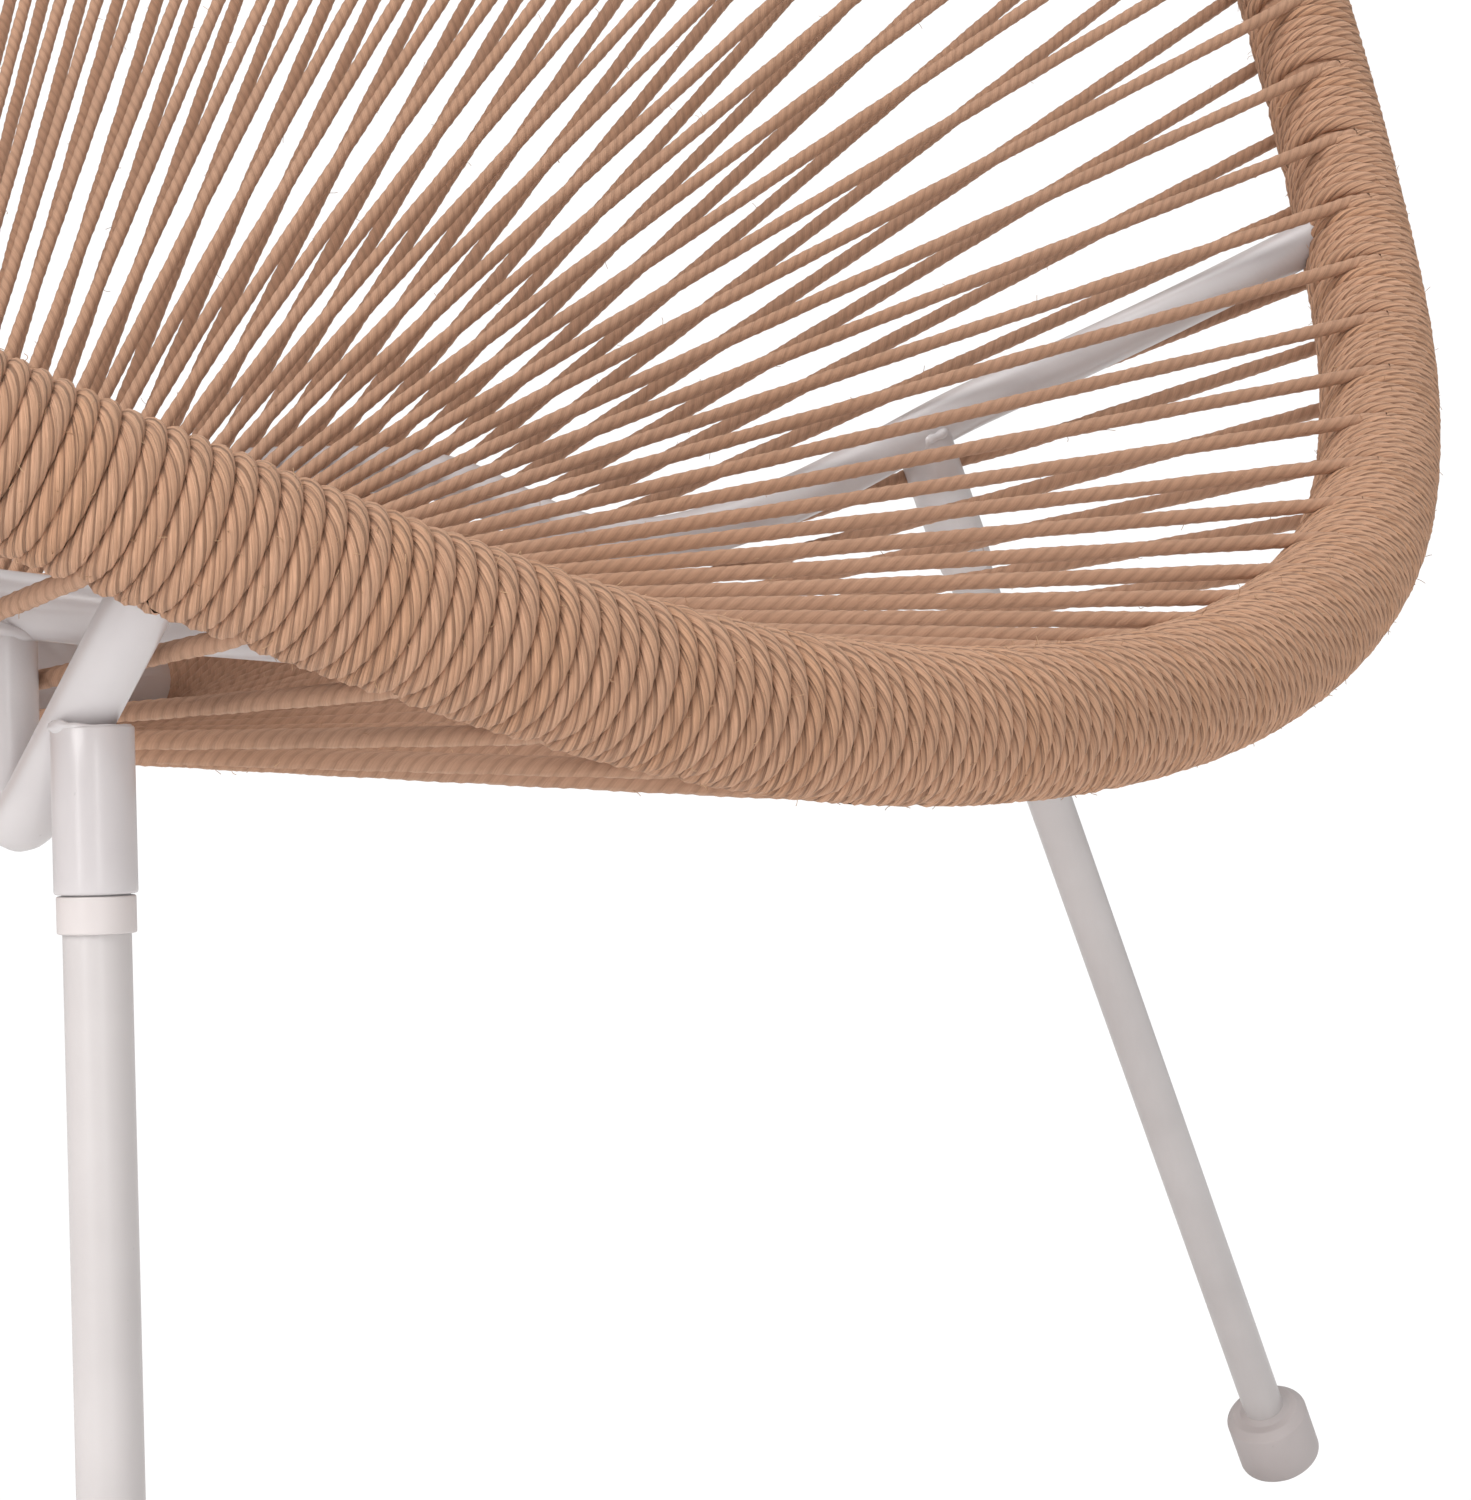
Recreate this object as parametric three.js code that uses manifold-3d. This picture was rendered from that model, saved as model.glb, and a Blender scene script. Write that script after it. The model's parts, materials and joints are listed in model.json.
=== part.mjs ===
// Acapulco chair: an egg-shaped steel hoop and a small steel ring, both wound with twisted cord,
// with strands of the same cord strung in pairs from hoop to ring as the seat and back.
// Two bowed rods run between the two layers of cord and carry four plug-in legs.
// Millimetres, +Z up, front towards -Y, origin on the floor under the middle of the chair.
import * as THREE from "three";
import { mergeVertices } from "three/addons/utils/BufferGeometryUtils.js";
import Module from "manifold-3d";

const wasm = await Module();
wasm.setup();

// Driving dimensions of the hoop's centre line
const HOOP_HALF_WIDTH = 380;
const HOOP_DEPTH = 800;
const HOOP_TOP = 831;

// Driving dimensions of the ring
const RING_RADIUS = 104;
const RING_HEIGHT = 262;
const RING_DEPTH_SHARE = 0.395;

// Tube, rod and cord
const HOOP_TUBE = 24;
const HOOP_WALL = 1.5;
const ROD_DIAMETER = 12.7;
const CORD = 4.4;

// Leg, sleeve, bush and foot cap
const LEG_DIAMETER = 12.7;
const LEG_WALL = 1.5;
const SLEEVE_WALL = 1.1;
const SLEEVE_LENGTH = 30;
const BUSH_WALL = 0.7;
const BUSH_HEIGHT = 7;
const LEG_PLUG = 20;
const CAP_DIAMETER = 26;
const CAP_HEIGHT = 24;
const CAP_FLOOR = 8;
const CAP_CHAMFER = 3.5;
const CAP_SINK = 2.5;

// Rear legs lean back and splay out by these amounts over their height
const REAR_LEAN = 239;
const REAR_SPLAY = 34;

// Front bracket
const BRACKET_DROP = 48;
const BRACKET_BEND = 17;

// The front cross rod lies this far under the middle of the two layers of cord, the rear one in the middle
const FRONT_BOW_SINK = 4;
const REAR_BOW_SINK = 0;

// Clearance between pieces
const GAP = 0.3;

// Corners closer than this are one corner
const WELD = 0.0001;

// Cord pairs, and the sectors that they are grouped in
const PAIRS = 100;
const SECTORS = 20;
const PAIRS_PER_SECTOR = PAIRS / SECTORS;

// Half outline of the hoop, front to back: shares of half width, depth and top height
const HOOP_SHARES = [
  [0, 0, 0.4513],
  [0.2276, 0.0171, 0.4368],
  [0.4499, 0.0659, 0.3971],
  [0.664, 0.149, 0.3406],
  [0.8537, 0.2747, 0.2984],
  [0.9675, 0.431, 0.2996],
  [1, 0.5922, 0.3369],
  [0.9675, 0.7179, 0.3983],
  [0.9024, 0.8095, 0.4801],
  [0.8157, 0.8755, 0.5884],
  [0.6938, 0.9267, 0.7208],
  [0.5257, 0.9658, 0.8436],
  [0.2981, 0.9915, 0.9495],
  [0, 1, 1],
];

// Places on the cord field, as [share of the way round from the front, share of the way from ring to hoop]
const BRACKET_ROUND_SHARE = 10 / PAIRS;
const BRACKET_INWARD_SHARE = 0.69;
const FRONT_LEG_ARM_SHARE = 0.5;
const FRONT_BOW_SHARES = [
  [0.125, 1],
  [BRACKET_ROUND_SHARE, BRACKET_INWARD_SHARE],
  [0.06, 0.37],
  [0, 0.3],
];
const REAR_BOW_SHARES = [
  [0.2975, 1],
  [0.288, 0.661],
  [0.275, 0.384],
  [0.345, 0.22],
  [0.41, 0.14],
  [0.5, 0.1],
];
const REAR_LEG_BOW_SHARE = 0.18;

// Angle round the wound tube at which a strand leaves it, and the corner that rounds off its far side
const STRAND_ANGLE = 1.05;
const BACK_ANGLE = 2.17;

// The block that trims a cap level with the floor is this much wider than the cap
const FLOOR_BLOCK_SHARE = 3;

// Facet counts
const ARC_DIVISIONS = 960;
const HOOP_SIDES = 6;
const HOOP_HALF_STEPS = 30;
const SPIGOT_SIDES = 12;
const SPIGOT_STEPS = 2;
const ROD_SIDES = 8;
const LEG_SIDES = 8;
const BOW_STEPS = 24;
const BRACKET_STEPS = 8;
const RING_SIDES = 6;
const RING_STEPS = 36;

// Worked-out sizes
const hoopRadius = HOOP_TUBE / 2;
const wrapOuter = hoopRadius + CORD;
const rodRadius = ROD_DIAMETER / 2;
const legRadius = LEG_DIAMETER / 2;
const legBore = acrossFlats(legRadius + GAP, LEG_SIDES);
const sleeveOuter = legRadius + GAP + SLEEVE_WALL;
const bushOuter = legRadius + GAP + BUSH_WALL;
const frontY = -HOOP_DEPTH / 2;
const ringCentre = new THREE.Vector3(0, frontY + HOOP_DEPTH * RING_DEPTH_SHARE, RING_HEIGHT);
const UP = new THREE.Vector3(0, 0, 1);

// Looks: every piece gets a material of its own made from one of these
const CORD_LOOK = { color: 0xae866b, roughness: 0.9, metalness: 0 };
const COAT_LOOK = { color: 0xe4e0df, roughness: 0.45, metalness: 0.1 };
const STEEL_LOOK = { color: 0x8f9296, roughness: 0.5, metalness: 0.9 };
const BUSH_LOOK = { color: 0xe9e2e0, roughness: 0.6, metalness: 0 };
const CAP_LOOK = { color: 0xd9d1cf, roughness: 0.7, metalness: 0 };

const chair = new THREE.Group();
chair.name = "acapulco_chair";

function addPiece(name, geometry, look) {
  const mesh = new THREE.Mesh(geometry, new THREE.MeshStandardMaterial(look));
  mesh.name = name;
  chair.add(mesh);
  return mesh;
}

// Closed geometry to solid, and back
function toSolid(geometry) {
  const bare = geometry.clone();
  bare.deleteAttribute("normal");
  bare.deleteAttribute("uv");
  const merged = mergeVertices(bare, WELD);
  const vertProperties = new Float32Array(merged.attributes.position.array);
  const triVerts = new Uint32Array(merged.index.array);
  return new wasm.Manifold(new wasm.Mesh({ numProp: 3, vertProperties, triVerts }));
}

function toGeometry(solid) {
  const mesh = solid.getMesh();
  const geometry = new THREE.BufferGeometry();
  geometry.setAttribute("position", new THREE.BufferAttribute(mesh.vertProperties, 3));
  geometry.setIndex(new THREE.BufferAttribute(mesh.triVerts, 1));
  geometry.computeVertexNormals();
  return geometry;
}

// The same shape on the other side of the chair, its faces turned to point out again
function mirrorGeometry(geometry) {
  const mirrored = geometry.clone();
  mirrored.scale(-1, 1, 1);
  mirrored.index.array.reverse();
  mirrored.computeVertexNormals();
  return mirrored;
}

const mirrorSolid = (solid) => toSolid(mirrorGeometry(toGeometry(solid)));

function circlePoints(radius, sides) {
  const points = [];
  for (let i = 0; i < sides; i += 1) {
    const angle = (i * 2 * Math.PI) / sides;
    points.push(new THREE.Vector2(radius * Math.cos(angle), radius * Math.sin(angle)));
  }
  return points;
}

// Corner radius of a many-sided circle whose flats touch the given radius
function acrossFlats(radius, sides) {
  return radius / Math.cos(Math.PI / sides);
}

function sweep(curve, outer, sides, steps, bore = 0) {
  const shape = new THREE.Shape(circlePoints(outer, sides));
  if (bore > 0) {
    shape.holes.push(new THREE.Path(circlePoints(bore, sides)));
  }
  return new THREE.ExtrudeGeometry(shape, { steps, extrudePath: curve, bevelEnabled: false });
}

// Lathe about +Z, then laid along a line from base towards tip
function latheAlong(profile, sides, base, tip) {
  const geometry = new THREE.LatheGeometry(profile.map(([r, z]) => new THREE.Vector2(r, z)), sides);
  geometry.rotateX(Math.PI / 2);
  const direction = tip.clone().sub(base).normalize();
  geometry.applyQuaternion(new THREE.Quaternion().setFromUnitVectors(UP, direction));
  geometry.translate(base.x, base.y, base.z);
  return geometry;
}

// The hoop's centre line
const halfOutline = HOOP_SHARES.map(([across, along, up]) => new THREE.Vector3(
  HOOP_HALF_WIDTH * across,
  frontY + HOOP_DEPTH * along,
  HOOP_TOP * up,
));
const leftOutline = halfOutline.slice(1, -1).reverse().map((p) => new THREE.Vector3(-p.x, p.y, p.z));
const hoopCurve = new THREE.CatmullRomCurve3([...halfOutline, ...leftOutline], true, "centripetal");
hoopCurve.arcLengthDivisions = ARC_DIVISIONS;

// Part of the hoop, between two shares of the way round from the front
class HoopStretch extends THREE.Curve {
  constructor(from, to) {
    super();
    this.from = from;
    this.to = to;
  }

  getPoint(t, target = new THREE.Vector3()) {
    const share = this.from + (this.to - this.from) * t;
    return hoopCurve.getPointAt(share - Math.floor(share), target);
  }
}

function ringPoint(share) {
  const angle = share * 2 * Math.PI - Math.PI / 2;
  return new THREE.Vector3(RING_RADIUS * Math.cos(angle), RING_RADIUS * Math.sin(angle), 0).add(ringCentre);
}

// A place midway between the two layers of cord
function fieldPoint(round, outward) {
  const rim = hoopCurve.getPointAt(round - Math.floor(round));
  return ringPoint(round).lerp(rim, outward);
}

// Hoop tube in two halves, with a spigot in each joint that reaches one facet of the tube each way
function makeHoop() {
  const jointShare = GAP / hoopCurve.getLength() / 2;
  const bore = hoopRadius - HOOP_WALL;
  const stretch = new HoopStretch(jointShare, 0.5 - jointShare);
  const half = toSolid(sweep(stretch, hoopRadius, HOOP_SIDES, HOOP_HALF_STEPS, bore));
  addPiece("hoop_tube_right", toGeometry(half), COAT_LOOK);
  addPiece("hoop_tube_left", toGeometry(mirrorSolid(half)), COAT_LOOK);
  const spigotRadius = bore * Math.cos(Math.PI / HOOP_SIDES) - GAP;
  const reach = 0.5 / HOOP_HALF_STEPS;
  for (const [name, middle] of [["hoop_spigot_front", 1], ["hoop_spigot_back", 0.5]]) {
    const joint = new HoopStretch(middle - reach, middle + reach);
    addPiece(name, sweep(joint, spigotRadius, SPIGOT_SIDES, SPIGOT_STEPS), STEEL_LOOK);
  }
}

// The ring is one closed tube
function ringGeometry(radius) {
  const profile = circlePoints(radius, RING_SIDES).map((p) => new THREE.Vector2(RING_RADIUS + p.x, p.y));
  profile.push(profile[0].clone());
  const geometry = new THREE.LatheGeometry(profile, RING_STEPS);
  geometry.rotateX(Math.PI / 2);
  geometry.translate(ringCentre.x, ringCentre.y, ringCentre.z);
  return geometry;
}

// A rod reaches its whole sink at the brackets and has none where it meets the hoop
function sinkShare(outward) {
  return 1 - THREE.MathUtils.smoothstep(outward, BRACKET_INWARD_SHARE, 1);
}

// A bowed rod: it keeps midway between the layers of cord, along its half path and the mirrored half
class BowCurve extends THREE.Curve {
  constructor(shares, middle, sink) {
    super();
    this.sink = sink;
    const half = shares.map(([round, outward]) => new THREE.Vector2(round, outward));
    const other = half.slice(0, -1).reverse().map((p) => new THREE.Vector2(2 * middle - p.x, p.y));
    this.path = new THREE.SplineCurve([...half, ...other]);
  }

  getPoint(t, target = new THREE.Vector3()) {
    const place = this.path.getPoint(t);
    return target.copy(fieldPoint(place.x, place.y)).addScaledVector(UP, -this.sink * sinkShare(place.y));
  }
}

const frontBow = new BowCurve(FRONT_BOW_SHARES, 0, FRONT_BOW_SINK);
const rearBow = new BowCurve(REAR_BOW_SHARES, 0.5, REAR_BOW_SINK);

// A bracket: down from the hoop between two pairs of strands, round a knee and up to the front bow
const bracketTop = fieldPoint(BRACKET_ROUND_SHARE, 1);
const bracketSeat = fieldPoint(BRACKET_ROUND_SHARE, BRACKET_INWARD_SHARE);
bracketSeat.addScaledVector(UP, -FRONT_BOW_SINK);
const bracketKnee = bracketSeat.clone().addScaledVector(UP, -BRACKET_DROP);

function bracketCurve() {
  const down = bracketTop.clone().sub(bracketKnee).normalize();
  const kneeStart = bracketKnee.clone().addScaledVector(down, BRACKET_BEND);
  const kneeEnd = bracketKnee.clone().addScaledVector(UP, BRACKET_BEND);
  const path = new THREE.CurvePath();
  path.add(new THREE.LineCurve3(bracketTop, kneeStart));
  path.add(new THREE.QuadraticBezierCurve3(kneeStart, bracketKnee, kneeEnd));
  path.add(new THREE.LineCurve3(kneeEnd, bracketSeat));
  return path;
}

const bracketPath = bracketCurve();

function rodSolid(curve, radius, steps) {
  return toSolid(sweep(curve, radius, ROD_SIDES, steps));
}

const fatRod = acrossFlats(rodRadius + GAP, ROD_SIDES);
const fatHoop = hoopRadius + acrossFlats(GAP, HOOP_SIDES);
const hoopCutter = toSolid(sweep(new HoopStretch(0, 0.5), fatHoop, HOOP_SIDES, HOOP_HALF_STEPS));
const ringCutter = toSolid(ringGeometry(hoopRadius + acrossFlats(GAP, RING_SIDES)));
const bothHoops = hoopCutter.add(mirrorSolid(hoopCutter));

const frontBowCutter = rodSolid(frontBow, fatRod, BOW_STEPS);
const rearBowCutter = rodSolid(rearBow, fatRod, BOW_STEPS);
const bracketCutter = rodSolid(bracketPath, fatRod, BRACKET_STEPS);

function makeBows() {
  for (const [name, bow] of [["front_cross_rod", frontBow], ["rear_cross_rod", rearBow]]) {
    addPiece(name, toGeometry(rodSolid(bow, rodRadius, BOW_STEPS).subtract(bothHoops)), COAT_LOOK);
  }
  const bracket = rodSolid(bracketPath, rodRadius, BRACKET_STEPS)
    .subtract(bothHoops)
    .subtract(frontBowCutter);
  addPiece("front_bracket_right", toGeometry(bracket), COAT_LOOK);
  addPiece("front_bracket_left", toGeometry(mirrorSolid(bracket)), COAT_LOOK);
}

// Axis of each right-hand leg, from its joint on the rod down to the floor
const frontTop = bracketTop.clone().lerp(bracketKnee, FRONT_LEG_ARM_SHARE);
const rearTop = rearBow.getPointAt(REAR_LEG_BOW_SHARE);
const axes = {
  front: [frontTop, new THREE.Vector3(frontTop.x, frontTop.y, 0)],
  rear: [rearTop, new THREE.Vector3(rearTop.x + REAR_SPLAY, rearTop.y + REAR_LEAN, 0)],
};

// A tube as a lathe profile
function tubeProfile(inner, outer, height) {
  return [[inner, 0], [outer, 0], [outer, height], [inner, height], [inner, 0]];
}

// One leg set: a sleeve welded under the rod, a bush, the leg tube and its foot cap
function legSet([top, foot], rodCutter) {
  const length = top.distanceTo(foot);
  const at = (distance) => top.clone().lerp(foot, distance / length);
  const slope = top.clone().sub(foot).normalize();
  const capOuter = CAP_DIAMETER / 2;
  const capLift = (capOuter - CAP_CHAMFER) * Math.hypot(slope.x, slope.y) - CAP_SINK;
  const capEnd = length - capLift / slope.z;
  const bushStart = SLEEVE_LENGTH + rodRadius + GAP;
  const legStart = bushStart - LEG_PLUG;
  const legEnd = capEnd - CAP_FLOOR - GAP;
  const sleeveProfile = tubeProfile(legBore, sleeveOuter, SLEEVE_LENGTH + rodRadius);
  const legProfile = tubeProfile(legRadius - LEG_WALL, legRadius, legEnd - legStart);
  const capProfile = [
    [0, 0],
    [capOuter - CAP_CHAMFER, 0],
    [capOuter, CAP_CHAMFER],
    [capOuter, CAP_HEIGHT - CAP_CHAMFER],
    [capOuter - CAP_CHAMFER, CAP_HEIGHT],
    [legBore, CAP_HEIGHT],
    [legBore, CAP_FLOOR],
    [0, CAP_FLOOR],
  ];
  const floorBlock = new THREE.BoxGeometry(CAP_DIAMETER, CAP_DIAMETER, CAP_HEIGHT);
  floorBlock.scale(FLOOR_BLOCK_SHARE, FLOOR_BLOCK_SHARE, 1);
  floorBlock.translate(at(capEnd).x, at(capEnd).y, -CAP_HEIGHT / 2);
  return {
    sleeve: toSolid(latheAlong(sleeveProfile, LEG_SIDES, at(0), foot)).subtract(rodCutter),
    bush: toSolid(latheAlong(tubeProfile(legBore, bushOuter, BUSH_HEIGHT), LEG_SIDES, at(bushStart), foot)),
    leg: toSolid(latheAlong(legProfile, LEG_SIDES, at(legStart), foot)),
    cap: toSolid(latheAlong(capProfile, LEG_SIDES, at(capEnd), top)).subtract(toSolid(floorBlock)),
  };
}

const legSets = {
  front: legSet(axes.front, bracketCutter),
  rear: legSet(axes.rear, rearBowCutter),
};

function makeLegs() {
  const looks = {
    sleeve: COAT_LOOK,
    bush: BUSH_LOOK,
    leg: COAT_LOOK,
    cap: CAP_LOOK,
  };
  for (const [end, pieces] of Object.entries(legSets)) {
    for (const [piece, solid] of Object.entries(pieces)) {
      addPiece(`${end}_right_${piece}`, toGeometry(solid), looks[piece]);
      addPiece(`${end}_left_${piece}`, toGeometry(mirrorSolid(solid)), looks[piece]);
    }
  }
}

// Angles of a wound tube's corners from the side that faces the strands: a narrow flat for each layer
function windingAngles() {
  const half = Math.asin(CORD / 2 / wrapOuter);
  const above = [0, STRAND_ANGLE - half, STRAND_ANGLE + half, BACK_ANGLE, Math.PI];
  const below = above.slice(1, -1).reverse().map((angle) => 2 * Math.PI - angle);
  return [...above, ...below];
}

const SECTION_ANGLES = windingAngles();
const UPPER_FLAT = 1;
const LOWER_FLAT = SECTION_ANGLES.length - 2;

// Corners of one section of a winding, square to its tube and turned towards the strands
function windingSection(centre, tangent, towards, handedness) {
  const inward = towards.clone().addScaledVector(tangent, -towards.dot(tangent)).normalize();
  const upward = tangent.clone().cross(inward).multiplyScalar(handedness);
  return SECTION_ANGLES.map((angle) => centre.clone()
    .addScaledVector(inward, wrapOuter * Math.cos(angle))
    .addScaledVector(upward, wrapOuter * Math.sin(angle)));
}

// Shares of the way round where a sector's sections of the hoop winding stand: its ends, and each
// side of each pair of strands
function hoopSectionShares(from) {
  const gapShare = GAP / 2 / hoopCurve.getLength();
  const halfStrandShare = CORD / 2 / hoopCurve.getLength();
  const shares = [from + gapShare];
  for (let i = 0; i < PAIRS_PER_SECTOR; i += 1) {
    const middle = from + (i + 0.5) / PAIRS;
    shares.push(middle - halfStrandShare, middle + halfStrandShare);
  }
  shares.push(from + 1 / SECTORS - gapShare);
  return shares;
}

// The same on the ring, where the strands are crowded side by side
function ringSectionShares(from) {
  const gapShare = GAP / 2 / (2 * Math.PI * RING_RADIUS);
  const room = 1 / SECTORS - 2 * gapShare;
  const shares = [];
  for (let i = 0; i <= PAIRS_PER_SECTOR; i += 1) {
    shares.push(from + gapShare + (room * i) / PAIRS_PER_SECTOR);
  }
  return shares;
}

function meanPoint(points) {
  const sum = points.reduce((total, point) => total.add(point), new THREE.Vector3());
  return sum.divideScalar(points.length);
}

// One sector's outer skin: the winding on the hoop, the winding on the ring, and the strands between
function sectorSkin(index) {
  const hoopShares = hoopSectionShares(index / SECTORS);
  const ringShares = ringSectionShares(index / SECTORS);
  const corners = SECTION_ANGLES.length;
  const points = [];
  const faces = [];
  for (const share of hoopShares) {
    const rim = hoopCurve.getPointAt(share);
    const towards = ringPoint(share).sub(rim);
    points.push(...windingSection(rim, hoopCurve.getTangentAt(share), towards, 1));
  }
  for (const share of ringShares) {
    const hub = ringPoint(share);
    const tangent = new THREE.Vector3(ringCentre.y - hub.y, hub.x - ringCentre.x, 0).normalize();
    points.push(...windingSection(hub, tangent, hoopCurve.getPointAt(share).sub(hub), -1));
  }
  const firstRingSection = hoopShares.length;
  const lastRingSection = firstRingSection + PAIRS_PER_SECTOR;
  const corner = (section, j) => section * corners + (j % corners);
  const flat = (section, j) => [
    corner(section, j), corner(section, j + 1), corner(section + 1, j + 1), corner(section + 1, j)];
  const quad = (p, q, r, t) => faces.push(p, q, r, p, r, t);
  // A twisted side bulges where it faces the open, and stays clear of the next strand where it faces that
  const side = (facesOpen, middle, p, q, r, t) => {
    const bulge = (a, b) => meanPoint([points[a], points[b]]).distanceTo(middle);
    if (bulge(p, r) > bulge(q, t) === facesOpen) {
      quad(p, q, r, t);
    } else {
      quad(q, r, t, p);
    }
  };
  for (let j = 0; j < corners; j += 1) {
    const strandsLeave = j === UPPER_FLAT || j === LOWER_FLAT;
    for (let i = 0; i < firstRingSection - 1; i += 1) {
      if (!strandsLeave || i % 2 === 0) {
        quad(...flat(i, j));
      }
    }
    for (let i = 0; i < PAIRS_PER_SECTOR; i += 1) {
      const ringFlat = flat(firstRingSection + i, j);
      if (strandsLeave) {
        const hoopFlat = flat(2 * i + 1, j);
        const middle = meanPoint([...hoopFlat, ...ringFlat].map((p) => points[p]));
        hoopFlat.forEach((p, k) => {
          const next = (k + 1) % hoopFlat.length;
          side(k % 2 === 1, middle, p, hoopFlat[next], ringFlat[next], ringFlat[k]);
        });
      } else {
        quad(...ringFlat.reverse());
      }
    }
  }
  for (let j = 1; j < corners - 1; j += 1) {
    for (const section of [0, lastRingSection]) {
      faces.push(corner(section, 0), corner(section, j + 1), corner(section, j));
    }
    for (const section of [firstRingSection - 1, firstRingSection]) {
      faces.push(corner(section, 0), corner(section, j), corner(section, j + 1));
    }
  }
  const geometry = new THREE.BufferGeometry().setFromPoints(points);
  geometry.setIndex(faces);
  return toSolid(geometry);
}

// Room for the rear sleeve where it passes between strands
const sleeveRoom = acrossFlats(sleeveOuter + GAP, LEG_SIDES);
const roomLength = SLEEVE_LENGTH + rodRadius + BUSH_HEIGHT;
const roomProfile = [[0, 0], [sleeveRoom, 0], [sleeveRoom, roomLength], [0, roomLength]];
const rearSleeveCutter = toSolid(latheAlong(roomProfile, LEG_SIDES, ...axes.rear));

function makeCord() {
  for (let index = 0; index < SECTORS / 2; index += 1) {
    const solid = sectorSkin(index)
      .subtract(hoopCutter)
      .subtract(ringCutter)
      .subtract(frontBowCutter)
      .subtract(rearBowCutter)
      .subtract(bracketCutter)
      .subtract(rearSleeveCutter);
    const number = String(index + 1).padStart(2, "0");
    addPiece(`cord_right_${number}`, toGeometry(solid), CORD_LOOK);
    addPiece(`cord_left_${number}`, toGeometry(mirrorSolid(solid)), CORD_LOOK);
  }
}

makeHoop();
addPiece("centre_ring", ringGeometry(hoopRadius), COAT_LOOK);
makeBows();
makeLegs();
makeCord();

export default chair;
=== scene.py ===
"""Looks of the acapulco chair: a wound hoop and ring, strung cord, bowed rods and plug-in legs.

Sizes are in millimetres where nothing else is said, and turned into metres where a mesh is made. The
axes are the frame's: +Z up, the chair's front towards -Y, the origin on the floor under its middle.
"""
import json
import logging
import math
from dataclasses import dataclass
from enum import Enum

import bmesh
import bpy
import numpy as np
from mathutils import Matrix, Vector


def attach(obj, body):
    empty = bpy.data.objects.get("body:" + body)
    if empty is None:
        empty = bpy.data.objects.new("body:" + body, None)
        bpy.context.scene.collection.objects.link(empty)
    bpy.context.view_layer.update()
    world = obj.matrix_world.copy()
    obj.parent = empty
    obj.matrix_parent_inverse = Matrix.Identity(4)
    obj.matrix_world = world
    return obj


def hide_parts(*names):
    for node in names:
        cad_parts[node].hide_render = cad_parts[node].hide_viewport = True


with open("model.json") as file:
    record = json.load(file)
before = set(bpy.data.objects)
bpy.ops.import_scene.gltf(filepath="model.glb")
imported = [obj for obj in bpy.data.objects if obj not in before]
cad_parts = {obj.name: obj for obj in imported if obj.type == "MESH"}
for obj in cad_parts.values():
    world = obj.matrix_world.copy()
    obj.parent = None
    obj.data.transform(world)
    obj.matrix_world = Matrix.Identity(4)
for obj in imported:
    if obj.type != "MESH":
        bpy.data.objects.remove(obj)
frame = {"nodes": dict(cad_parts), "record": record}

LOG = logging.getLogger("acapulco_chair")
MM = 0.001
BODY = "root"
UP = np.array([0.0, 0.0, 1.0])
TURN = 2 * math.pi
SIDES = (("right", 1), ("left", -1))

# Driving dimensions of the frame
HOOP_HALF_WIDTH = 380.0
HOOP_DEPTH = 800.0
HOOP_TOP = 831.0
HOOP_TUBE = 24.0
RING_RADIUS = 104.0
RING_HEIGHT = 262.0
RING_DEPTH_SHARE = 0.395
ROD_DIAMETER = 12.7
BRACKET_DROP = 48.0
BRACKET_BEND = 17.0
FRONT_BOW_SINK = 4.0
REAR_LEAN = 239.0
REAR_SPLAY = 34.0

# Half outline of the hoop, front to back: shares of half width, depth and top height
HOOP_SHARES = (
    (0, 0, 0.4513), (0.2276, 0.0171, 0.4368), (0.4499, 0.0659, 0.3971), (0.664, 0.149, 0.3406),
    (0.8537, 0.2747, 0.2984), (0.9675, 0.431, 0.2996), (1, 0.5922, 0.3369), (0.9675, 0.7179, 0.3983),
    (0.9024, 0.8095, 0.4801), (0.8157, 0.8755, 0.5884), (0.6938, 0.9267, 0.7208),
    (0.5257, 0.9658, 0.8436), (0.2981, 0.9915, 0.9495), (0, 1, 1),
)
HOOP_SAMPLES = 960

# Pairs of strands, and the sectors of cord that hold them
PAIRS = 100
SECTORS = 20
PAIRS_PER_SECTOR = PAIRS // SECTORS

# Places on the cord field: share of the way round from the front, share of the way from ring to hoop
BRACKET_ROUND_SHARE = 10 / PAIRS
BRACKET_INWARD_SHARE = 0.69
FRONT_LEG_ARM_SHARE = 0.5
REAR_LEG_BOW_SHARE = 0.18
FRONT_BOW_SHARES = ((0.125, 1), (BRACKET_ROUND_SHARE, BRACKET_INWARD_SHARE), (0.06, 0.37), (0, 0.3))
REAR_BOW_SHARES = ((0.2975, 1), (0.288, 0.661), (0.275, 0.384), (0.345, 0.22), (0.41, 0.14), (0.5, 0.1))

# The front sleeves are cut square, this far under the middle of the bracket
FRONT_SLEEVE_LEVEL = 5.5

# Plain numbers and curves


def unit(vector: np.ndarray) -> np.ndarray:
    """Scales a vector, or each row of an array of them, to length one."""
    return vector / np.linalg.norm(vector, axis=-1, keepdims=True)


def square_to(vector: np.ndarray, axis: np.ndarray) -> np.ndarray:
    """Gives the unit direction of what a vector has square to a unit axis."""
    return unit(vector - axis * float(vector @ axis))


def flipped(sign: int) -> np.ndarray:
    """Gives the factors that keep a point, or mirror it to the other side with a sign of -1."""
    return np.array([sign, 1, 1])


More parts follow.
